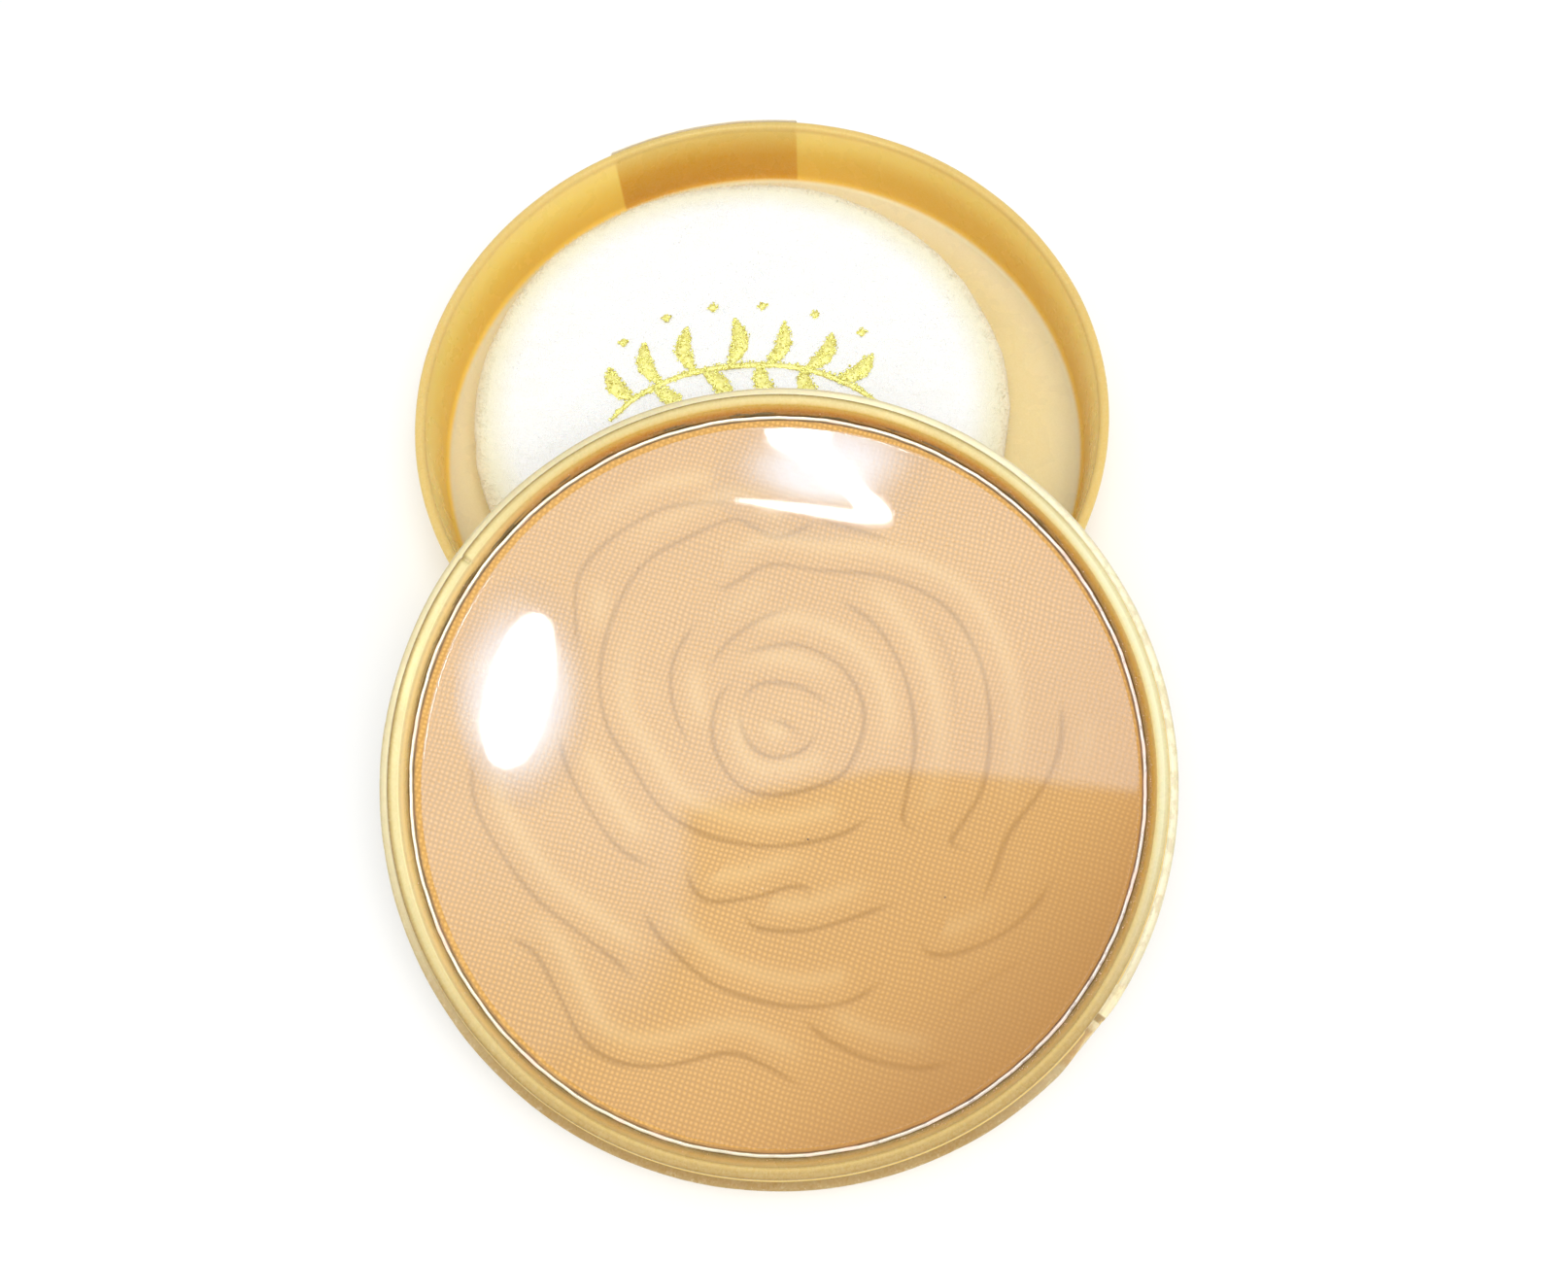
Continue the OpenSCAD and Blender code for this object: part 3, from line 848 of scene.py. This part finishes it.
def make_bowl():
    ledge, inner, floor = 0.3, LID_R - 1.3, 1.2
    profile = cup_foot()
    profile += line((LID_R, EDGE + 0.4), (LID_R, SHOULDER - ledge - 0.2), 8)
    profile += arc((LID_R - ledge, SHOULDER - ledge), ledge, 0, 90, 6)
    profile += line((LID_R - ledge - 0.1, SHOULDER), (inner, SHOULDER), 4)
    profile += [(inner, z) for z in (SHOULDER, SHOULDER - 0.5, 2.0, floor)]
    profile += [*line((inner - 1, floor), (0, floor), 6), (0, floor)]
    dents = [(169, 1.0, 0.09), (188, 1.0, 0.05), (96, 1.0, 0.05), (262, 1.0, 0.07), (12, 1.0, 0.05)]

    def warp(r, a, z):
        x, y = r * np.cos(a), r * np.sin(a)
        top = smooth_step(z, SHOULDER - 1.4, SHOULDER - 0.2)
        outer = smooth_step(r, inner + 0.3, LID_R)
        # the nail nick: a long dip with a short step in it
        nick = bump_at(a, 316.2, 6.4) ** 1.2 * 0.34
        step = smooth_step(bump_at(a, 319.4, 0.75), 0.2, 0.9) * 0.16
        r = r - nick * top * outer
        z = z - (nick * 0.9 + step + knocks(a, dents)) * top * outer
        r = r + 0.02 * (waves(x, y, 6, 16, 5) - 1.4) * (z > 1.5) * outer
        return r, z

    fine = [(317, 8, 0.25), (169, 1.3, 0.25), (188, 1.3, 0.25)]
    bowl = add_mesh("base_bowl", *lathe(profile, ring_angles(400, fine), warp), BASE)
    bowl.data.materials.append(base_material("pearly_gold_base", bowl_colour))
    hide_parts("base_shell")
    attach(bowl, "base")


def make_tray():
    neck, edge, well = 36.08, 0.35, 34.37
    under, floor, skirt_in, skirt_out, skirt_foot = 3.4, 4.4, 35.2, 36.5, 1.4
    rib_top = NECK_TOP - 2.0
    # how far out and up from rib_top; the rib itself is swelled out in warp
    rib = [(0, -1.3), (0.001, -1.2), (0.002, -0.8), (0.002, -0.5), (0.002, -0.2), (0.001, 0.15), (0, 0.25)]
    # radius and depth below NECK_TOP of the slope from the rim into the well
    slope = [(34.86, 0.26), (34.8, 0.42), (34.73, 0.62), (34.66, 0.84), (34.6, 1.06), (34.53, 1.24), (34.46, 1.38),
             (34.41, 1.5), (34.38, 1.64)]
    chips = [(233, 0.7, 0.06), (57, 0.6, 0.05)]
    profile = [(0, under), *line((2, under), (skirt_in, under), 8), (skirt_in, under), (skirt_in, skirt_foot)]
    profile += [(skirt_out, skirt_foot), (skirt_out, SHOULDER - 0.02)]
    profile += [(neck + 0.12, SHOULDER - 0.02), (neck, SHOULDER + 0.12)]
    profile += [(neck + out, rib_top + up) for out, up in rib]
    profile += arc((neck - edge, NECK_TOP - edge), edge, 0, 90, 7)
    profile += line((35.66, NECK_TOP), (35.1, NECK_TOP), 5)
    profile += arc((35.03, NECK_TOP - 0.14), 0.14, 90, 160, 4)
    profile += [(r, NECK_TOP - down) for r, down in slope]
    profile += line((well, NECK_TOP - 2.0), (well, floor), 4)
    profile += [*line((well, floor), (0, floor), 6), (0, floor)]

    def warp(r, a, z):
        x, y = r * np.cos(a), r * np.sin(a)
        turn = (np.degrees(a) - GAP_AT) % 180
        ramp = smooth_step(turn, 2.5, 4.5) * (1 - smooth_step(turn, 175.5, 177.5))
        height = np.interp(z, [rib_top + up for up in (-1.2, -0.8, -0.2, 0.15)], [0, 1, 1, 0])
        outside = (r > neck - 0.01) & (z > SHOULDER + 0.3)
        r = r + outside * height * ramp * 0.55
        # a nick across the rim
        near = (z > NECK_TOP - 0.5) & (r > 34.8)
        nick = np.exp(-(((np.degrees(a) - 142.5) / 0.34) ** 2))
        z = z - near * nick * 0.30
        z = z + near * 0.015 * (waves(x, y, 14, 18, 5) - 1.2)
        return r, z - knocks(a, chips) * near

    fine = [(142.5, 1.6, 0.12), (141, 5, 0.4), (321, 5, 0.4), (233, 1, 0.2), (57, 1, 0.2)]
    tray = add_mesh("base_tray", *lathe(profile, ring_angles(400, fine), warp), BASE)
    tray.data.materials.append(base_material("pearly_gold_neck", neck_colour))
    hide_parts("inner_tray")
    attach(tray, "base")


PAN_R = 34.33
PAN_AT = (0, -0.07, 0)
PAN_RIM = 8.6
PAN_FOOT = 4.6


def make_pan():
    t, corner, lip = 0.3, 0.8, 0.08
    dents = [(8, 1.1, 0.12), (17, 0.8, 0.09), (29, 1.3, 0.12), (38, 0.7, 0.08), (112, 1.0, 0.06), (203, 1.2, 0.06),
             (291, 0.9, 0.07), (333, 1.2, 0.1)]
    profile = [(0, PAN_FOOT), *line((3, PAN_FOOT), (PAN_R - corner, PAN_FOOT), 6)]
    profile += arc((PAN_R - corner, PAN_FOOT + corner), corner, -90, 0, 6)
    profile += line((PAN_R, PAN_FOOT + 1.2), (PAN_R, PAN_RIM - 0.3), 5)
    profile += arc((PAN_R - lip, PAN_RIM - lip), lip, 0, 90, 4)
    profile += arc((PAN_R - t + lip, PAN_RIM - lip), lip, 90, 180, 4)
    profile += line((PAN_R - t, PAN_RIM - 0.3), (PAN_R - t, PAN_FOOT + 1.2), 5)
    profile += arc((PAN_R - t - 0.5, PAN_FOOT + corner), corner - t, 0, -90, 5)
    profile += [*line((PAN_R - 2, PAN_FOOT + t), (0, PAN_FOOT + t), 5), (0, PAN_FOOT + t)]

    def warp(r, a, z):
        top = smooth_step(z, PAN_RIM - 1.0, PAN_RIM)
        shake = 0.020 * np.sin(23 * a + 1) + 0.018 * np.sin(41 * a + 2) + 0.012 * np.sin(97 * a) - 0.008
        return r + top * shake * 0.8, z + top * (shake * 0.5 - knocks(a, dents) - 0.01)

    verts, faces = lathe(profile, ring_angles(640), warp)
    pan = add_mesh("pan_cup", verts + np.array(PAN_AT), faces, BASE, smooth=50)
    pan.data.materials.append(pan_material())
    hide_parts("powder_pan")
    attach(pan, "base")


POWDER_Z = 8.35
CAKE_R = 34.02
CAKE_FOOT = 4.93

# Pressed petal edges of a rose, in mm on the powder's face: x right, y up the slope.
PETALS = [
    [(-0.5, 5), (1, 4.6), (2.5, 3.5)],
    [(-3, 6), (-3, 4.5), (-2, 2.5), (0, 1.5), (2.5, 2), (4, 3.5)],
    [(-3, 7), (-1.5, 8.3), (0.5, 8.5), (3, 7.8), (5.5, 6)],
    [(-2.5, 11.5), (-1, 11.8), (2.5, 12), (6, 10.2), (8, 7.5), (8.5, 4.5), (7.5, 1.5), (6, -0.5), (3.5, -1.5),
     (0, -2), (-3, -1.3), (-5, 1), (-5.8, 4), (-5.2, 7), (-3.5, 9)],
    [(2, 15.5), (-1, 14.5), (-4, 12.5), (-6, 10)],
    [(-7, 14.5), (-9, 11.5), (-9.5, 8.5), (-9, 5.5), (-8, 3)],
    [(7, 16), (10, 13.5), (12, 10), (13, 6), (13, 1.5), (12, -2.5), (11.5, -5), (12.5, -6)],
    [(-5, 18.2), (-4, 17.8), (-2.5, 18.5), (0.5, 19.8), (5, 19), (10.5, 18.2), (14.5, 16.5), (17.5, 14), (19.5, 10),
     (20.2, 6), (20, 1.5), (19, -2.5), (17, -5.5), (15.8, -7.2), (17, -8)],
    [(12, 21.5), (8, 23), (5, 23.7)],
    [(5, 23.7), (3, 22.8), (1, 22.4), (-1, 23.6), (-3, 24.4), (-7.5, 22.8), (-11, 21), (-13.5, 18), (-15.5, 13.5),
     (-16.2, 9), (-15.5, 5), (-13.5, 1.5), (-11, -2.5), (-7.5, -5), (-3.5, -6.3), (0.5, -6.7), (5.5, -6),
     (8.5, -4.5)],
    [(-3, 26), (-7, 26.2), (-10.5, 25.5), (-15.5, 22.5), (-18, 19), (-18.2, 13)],
    [(-20.2, 4.5), (-19.5, 1.5), (-17.5, -2.5), (-15, -6), (-12, -8)],
    [(-28.5, 3), (-28.3, -1), (-26.5, -5), (-23, -10), (-19, -13.5), (-16, -16), (-14, -18)],
    [(-8.8, -8.3), (-8.2, -10.2), (-6.5, -11.4), (-2.5, -11.2), (0.5, -10.5), (2.3, -10.7), (2.2, -11.6)],
    [(-3.6, -12.8), (-2.5, -14), (1.5, -14.5), (5.5, -13.8), (10, -12.5)],
    [(-13, -12), (-11, -15), (-7, -18.7), (-2.5, -20.6), (1.5, -21.3), (5.5, -21), (8.5, -19.5)],
    [(-25.5, -13.5), (-23, -15.3), (-21, -19), (-19, -23), (-16, -25.2), (-11.5, -25.8), (-6, -25), (-3, -26),
     (0.8, -28.3)],
    [(1.3, -22.5), (3.5, -24.4), (7, -26.2), (11, -27.2), (14.5, -27)],
    [(12.3, -16.1), (13.2, -17.2), (16, -17.2), (20, -15.7), (23, -13.4), (24.7, -11.3)],
    [(27, 5), (26.5, 1), (24.5, -2.8), (21.2, -6.7), (19.5, -10.2), (18.3, -12.6)],
]
FAINT_PETALS = [
    [(14.5, -22.5), (18, -20), (22, -18)],
    [(-13, 13), (-14, 9), (-12.5, 4)],
    [(15.5, 13.5), (17, 9), (17, 4)],
]


def relief(x, y):
    """Groove, ridge and height of the pressed rose, at points in mm."""
    groove = np.zeros_like(x)
    ridge = np.zeros_like(x)
    lit = np.array([0.62, 0.78])
    reach, batch = 6, 20000
    lines = [(p, 1.0) for p in PETALS] + [(p, 0.35) for p in FAINT_PETALS]
    for points, weight in lines:
        path, along = curve_points(points)
        lo, hi = path.min(0) - reach, path.max(0) + reach
        inside = np.nonzero((x > lo[0]) & (x < hi[0]) & (y > lo[1]) & (y < hi[1]))[0]
        for part in np.array_split(inside, max(1, len(inside) // batch)):
            dx = x[part][:, None] - path[None, :, 0]
            dy = y[part][:, None] - path[None, :, 1]
            d2 = dx * dx + dy * dy
            near = d2.argmin(1)
            pick = np.arange(len(part))
            d = np.sqrt(d2[pick, near])
            s = along[near]
            ends = smooth_step(s, 0, 1.6) * smooth_step(along[-1] - s, 0, 2.2)
            ends_wide = smooth_step(s, 0, 4.0) * smooth_step(along[-1] - s, 0, 4.0)
            off = np.stack([dx[pick, near], dy[pick, near]], 1) / (d[:, None] + 1e-6)
            facing = off @ lit
            width = 0.22 + 0.03 * np.sin(s * 0.55)
            g = np.exp(-((d / width) ** 2)) * (0.25 + 0.75 * ends) * weight
            r = np.exp(-(((d - 2.35) / 0.95) ** 2)) * smooth_step(facing, 0.05, 0.75) * ends_wide * weight
            groove[part] = np.maximum(groove[part], g)
            ridge[part] = np.maximum(ridge[part], r)
    return groove, ridge, 0.16 * ridge - 0.17 * groove


def make_powder():
    face = np.concatenate([np.linspace(0.35, 31.4, 200), (31.8, 32.3, 32.8, 33.2, 33.45, 33.6)])
    profile = [(r, CAKE_FOOT) for r in (0, 20, 33.3)]
    profile += [(33.75, 5.1), (CAKE_R, 5.5), (CAKE_R, 7.2), (CAKE_R, 8.2), (33.98, 8.29), (33.94, 8.33)]
    profile += [(r, POWDER_Z) for r in (33.86, *face[::-1], 0)]
    marks = {}

    def warp(r, a, z):
        x, y = (r * np.cos(a)).ravel(), (r * np.sin(a)).ravel()
        groove, ridge, height = relief(x, y)
        shape = r.shape
        upper = (z > 8.0).astype(float)
        level = 0.03 * waves(x, y, 17, 40, 16).reshape(shape) * smooth_step(33.5 - r, 0, 6)
        rough = 0.05 * waves(x, y, 18, 3.5, 0.8, count=14).reshape(shape) - 0.05
        crumbled = upper * smooth_step(r, 32.6, 33.5) * rough
        on_face = upper * (r < 33.65)
        marks["groove"] = groove.reshape(shape) * on_face
        marks["ridge"] = ridge.reshape(shape) * on_face
        return r, z + on_face * (height.reshape(shape) + level - 0.03) + crumbled

    verts, faces = lathe(profile, ring_angles(900), warp)
    cake = add_mesh("powder_face", verts + np.array(PAN_AT), faces, BASE, smooth=60)
    for name, values in marks.items():
        flat = np.zeros(len(verts), dtype=np.float32)
        flat[: values.size] = values.ravel()
        mark_points(cake, name, flat)
    cake.data.materials.append(powder_material())
    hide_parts("powder_cake")
    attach(cake, "base")


# four corners round the middle, then the top and the bottom
DIAMOND_FACES = [(0, 1, 4), (1, 2, 4), (2, 3, 4), (3, 0, 4), (1, 0, 5), (2, 1, 5), (3, 2, 5), (0, 3, 5)]


def make_crumbs():
    """Crumbs of powder on the slope round the pan, most of them at the lower right."""
    g = np.random.default_rng(52)
    corners = [(1, 0, 0), (0, 1, 0), (-1, 0, 0), (0, -1, 0), (0, 0, 1), (0, 0, -1)]
    shape = [np.array(c) * g.uniform(0.7, 1.1) for c in corners]
    foot_r, foot_z, slope = 34.54, 8.84, 2.7
    places = []
    for _ in range(420):
        a = math.radians(g.uniform(285, 372) if g.random() < 0.7 else g.uniform(0, 360))
        r = g.choice([foot_r, 34.64, 34.78], p=[0.6, 0.3, 0.1]) + g.normal(0, 0.03)
        size = g.uniform(0.03, 0.08)
        place = (r * math.cos(a), r * math.sin(a), foot_z + (r - foot_r) * slope)
        places.append((place, random_turn(g, 1.0) * size))
    crumbs = scatter("pan_crumbs", shape, DIAMOND_FACES, places, BASE)
    crumbs.data.materials.append(patchy_material(
        "powder_crumbs", (1.5, 3), 0.35, 0.65, (0.66, 0.36, 0.14), (0.86, 0.62, 0.44), 0.9, (9.0, 3), 0.03, 0.8))
    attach(crumbs, "base")


FILM_R = 33.45
FILM_BOW = 0.8
FILM_Z = 8.4
FILM_T = 0.2
FILM_AT = (0.2, -0.2)


def film_height(x, y):
    """Height of the film's under side above its rim's."""
    r2 = (x * x + y * y) / FILM_R**2
    inside = smooth_step(1 - np.sqrt(r2), 0.0, 0.25)
    return FILM_BOW * (1 - r2) + inside * 0.022 * waves(x, y, 23, 34, 15)


def film_top(x, y):
    """Height of the film's upper side at a point of the base's axes."""
    return FILM_Z + FILM_T + float(film_height(np.array(x - FILM_AT[0]), np.array(y - FILM_AT[1])))


def make_film():
    rings = np.concatenate([np.linspace(0.6, 32.6, 54), [32.95, 33.2, 33.35]])
    t = FILM_T
    profile = [(r, FILM_Z) for r in (0, *rings)]
    profile += [(FILM_R - 0.03, FILM_Z + 0.02), (FILM_R, FILM_Z + t / 2 - 0.02)]
    profile += [(FILM_R, FILM_Z + t / 2 + 0.02), (FILM_R - 0.03, FILM_Z + t - 0.02)]
    profile += [(r, FILM_Z + t) for r in (*rings[::-1], 0)]

    def warp(r, a, z):
        x, y = r * np.cos(a), r * np.sin(a)
        return r, z + film_height(x, y)

    verts, faces = lathe(profile, ring_angles(256), warp)
    verts[-2:, 2] = (verts[0, 2], verts[-3, 2])
    film = add_mesh("film_disc", verts + np.array([*FILM_AT, 0]), faces, BASE)
    film.data.materials.append(film_material())
    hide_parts("clear_film")
    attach(film, "film")

    g = np.random.default_rng(77)
    shape = [(1, 0, 0), (0, 0.8, 0), (-0.9, 0.1, 0), (0, -0.7, 0.1), (0.1, 0, 0.8), (0, 0.1, -0.6)]
    specks = [(5, 29.3), (-3, -8.5), (14.8, -12.2), (2.6, -6.3), (-1.8, -10.5), (-12, 20), (21, 4), (-19, -6)]
    places = [((x, y, film_top(x, y)), random_turn(g, 0.3) * g.uniform(0.07, 0.15)) for x, y in specks]
    dust = scatter("film_dust", shape, DIAMOND_FACES, places, BASE)
    dust.data.materials.append(patchy_material(
        "dust", (0.15, 1), 0.49, 0.51, (0.16, 0.12, 0.09), (0.92, 0.84, 0.72), 0.9, (9.0, 3), 0.02, 0.8))
    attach(dust, "film")


# ---- stage

# heights above the film's rim, in mm; the film shows a lower card in front of a higher one
WINDOW_UP, ROOM_UP, GLOW_UP, LAMP_UP = 250.0, 256.0, 249.0, 248.0

# Outlines as the film shows them to the camera, in mm in the base's axes.
WINDOW = [
    (-60, 60), (60, 60), (60, -4.8), (33, -3.9), (22, -2.2), (10.3, -0.9), (1, -2.2), (-7.6, -3.9), (-7.4, -9.5),
    (-7.6, -13.6), (-12.0, -22.0), (-21.8, -26.0), (-36, -33), (-60, -44),
]
WINDOW_CORE = [
    (-60, 60), (60, 60), (60, -4.0), (33, -3.1), (22, -1.2), (10.3, 0.3), (0.5, -0.6), (-9.6, -1.9), (-9.8, -8.5),
    (-10.4, -12.2), (-14.6, -19.0), (-23.6, -23.4), (-36, -29), (-60, -40),
]
ROOM = [(-40, 12), (60, 12), (60, -60), (-60, -60), (-60, -30)]
OVAL = [
    (-22.8, 15.8), (-21.4, 16.0), (-20.4, 14.2), (-20.4, 10.8), (-21.2, 7.3), (-22.2, 4.5), (-23.4, 2.7),
    (-25.0, 2.0), (-26.5, 2.8), (-27.1, 5.7), (-26.6, 9.0), (-25.5, 12.2), (-24.3, 14.6),
]
HOOK = [
    (-2.5, 26.1), (1.5, 25.6), (4.5, 25.1), (7.5, 24.5), (9.0, 24.3), (8.6, 25.2), (7.4, 26.8), (5.5, 28.6),
    (4.0, 30.0), (1.6, 31.4), (1.0, 33.0), (3.5, 33.6), (6.8, 33.0), (6.6, 30.6), (7.9, 28.5), (9.6, 26.7),
    (11.1, 25.3), (11.9, 24.4), (12.1, 23.5), (11.2, 23.1), (9.0, 23.3), (7.0, 23.7), (3.5, 24.6), (0.0, 25.5),
]


def film_to_card(points, height):
    """Corners of a card above the base that shows in the film at these points, seen from the camera's place."""
    eye = np.array(BASE.inverted() @ EYE) / MM
    h = 0.2
    out = []
    for x, y in points:
        fx, fy = np.array(x - FILM_AT[0]), np.array(y - FILM_AT[1])
        slope_x = (film_height(fx + h, fy) - film_height(fx - h, fy)) / (2 * h)
        slope_y = (film_height(fx, fy + h) - film_height(fx, fy - h)) / (2 * h)
        normal = np.array([-slope_x, -slope_y, 1.0])
        normal /= np.linalg.norm(normal)
        point = np.array([x, y, film_top(x, y)])
        ray = point - eye
        ray -= 2 * ray.dot(normal) * normal
        out.append(point + ray * (FILM_Z + height - point[2]) / ray[2])
    return out


def closed_line(points, steps=6):
    """Points along straight sides between the given corners."""
    return [p for a, b in zip(points, points[1:] + points[:1]) for p in line(a, b, steps)]


def closed_curve(points, steps=5):
    """Points along a smooth closed curve through the given ones."""
    p = [*np.array(points, float)]
    around = zip(p[-1:] + p, p, p[1:] + p[:1], p[2:] + p[:2])
    return [spline(*four, t) for four in around for t in np.arange(steps) / steps]


def card(name, points, height, strength, colour=(1, 1, 1), core=None):
    """A glowing card that only reflections see. strength is a number, or a function of the Shader.
    With core, mark("core") runs from 0 at the card's edge to 1 at those points."""
    verts = film_to_card(points, height)
    count = len(verts)
    faces = [tuple(range(count))]
    if core:
        verts += film_to_card(core, height)
        band = [(i, (i + 1) % count, (i + 1) % count + count, i + count) for i in range(count)]
        faces = [*band, tuple(range(count, 2 * count))]
    o = add_mesh(name, verts, faces, BASE)
    if core:
        mark_points(o, "core", [0.0] * count + [1.0] * count)
    s = Shader(name)
    strength = strength(s) if callable(strength) else strength
    s.put(s.out.inputs["Surface"], s.node("Emission", 0, {"Color": colour, "Strength": strength}))
    s.tree.nodes.remove(s.bsdf)
    o.data.materials.append(s.mat)
    o.visible_camera = o.visible_diffuse = o.visible_shadow = o.visible_transmission = False


def window_glow(s):
    """Brighter far up the slope, and fading over the card's edge to just above what the room behind it gives."""
    return s.range(s.split()[1], -70.0, 6.0, 0.50, 1.72) * s.mark("core") + 0.88


def room_glow(s):
    x, y, _ = s.split()
    return s.range(x - y, 20.0, 210.0, 0.85, 0.12)


def lamp_cards(name, outline, middle, reach):
    """A bright card, and over it a larger one whose glow falls off from the middle."""
    card("lamp_" + name, closed_curve(outline), LAMP_UP, 34.0)
    (mx, my), (rx, ry) = middle, reach
    ring = [(mx + rx * math.cos(a), my + ry * math.sin(a)) for a in np.arange(0, 6.28, 0.14)]
    centre, *ends = film_to_card([middle, (mx + rx, my), (mx, my + ry)], GLOW_UP)
    spread = [np.hypot(*(p - centre)[:2]) for p in ends]

    def falling(s):
        x, y, _ = s.split()
        dx = (x - float(centre[0])) / float(spread[0])
        dy = (y - float(centre[1])) / float(spread[1])
        return s.range(s.math("SQRT", dx * dx + dy * dy), 0.25, 0.97, 10.0, 2.6)

    card("glow_" + name, ring, GLOW_UP, falling, (0.42, 0.74, 1.0))


def make_stage():
    half = 3000
    corners = [(-half, -half, 0), (half, -half, 0), (half, half, 0), (-half, half, 0)]
    floor = add_mesh("floor", corners, [(0, 1, 2, 3)])
    floor.data.materials.append(patchy_material(
        "pale_floor", (0.004, 3), 0.3, 0.7, (0.80, 0.802, 0.806), (0.82, 0.82, 0.822), 0.85, (1.5, 4), 0.02, 0.3))

    # a large soft window, the darker room below it, and two lamps
    card("window_card", closed_line(WINDOW), WINDOW_UP, window_glow, (0.66, 0.83, 0.96), closed_line(WINDOW_CORE))
    card("room_card", closed_line(ROOM), ROOM_UP, room_glow)
    lamp_cards("oval", OVAL, (-23.4, 9.0), (6.5, 11.0))
    lamp_cards("hook", HOOK, (5.8, 28.0), (10.5, 6.5))

    world = bpy.data.worlds.new("studio")
    world.use_nodes = True
    bpy.context.scene.world = world
    sky = world.node_tree.nodes["Background"]
    sky.inputs["Color"].default_value = (0.93, 0.97, 1.0, 1)
    sky.inputs["Strength"].default_value = 0.78

    lamp = bpy.data.lights.new("softbox", "AREA")
    lamp.shape = "RECTANGLE"
    lamp.size, lamp.size_y = 0.7, 0.7
    lamp.energy = 5.6
    lamp.color = (1.0, 0.985, 0.96)
    softbox = bpy.data.objects.new("softbox", lamp)
    bpy.context.scene.collection.objects.link(softbox)
    softbox.location = (0.10, -0.28, 0.8)
    softbox.rotation_euler = (Vector((0, -0.02, 0)) - softbox.location).to_track_quat("-Z", "Y").to_euler()
    softbox.visible_camera = False
    softbox.visible_glossy = False


def make_camera():
    yaw, pitch, roll = (math.radians(v) for v in EYE_TURNS)
    ahead = Vector((math.sin(yaw) * math.cos(pitch), math.cos(yaw) * math.cos(pitch), -math.sin(pitch)))
    level = Vector((math.cos(yaw), -math.sin(yaw), 0))
    up = level.cross(ahead)
    x_axis = math.cos(roll) * level + math.sin(roll) * up
    y_axis = -math.sin(roll) * level + math.cos(roll) * up
    m = Matrix((x_axis, y_axis, -ahead)).transposed().to_4x4()
    m.translation = EYE
    data = bpy.data.cameras.new("camera")
    data.sensor_width = 36
    data.lens = LENS
    data.clip_start = 0.005
    cam = bpy.data.objects.new("camera", data)
    bpy.context.scene.collection.objects.link(cam)
    cam.matrix_world = m
    bpy.context.scene.camera = cam


make_lid()
make_label()
make_puff()
make_sprig()
make_bowl()
make_tray()
make_pan()
make_powder()
make_crumbs()
make_film()

for node, material in (("pan_glue", glue_material()), ("puff_core", foam_material())):
    mesh = frame["nodes"][node].data
    mesh.materials.clear()
    mesh.materials.append(material)

make_stage()
make_camera()
bpy.context.scene.view_settings.view_transform = "Standard"
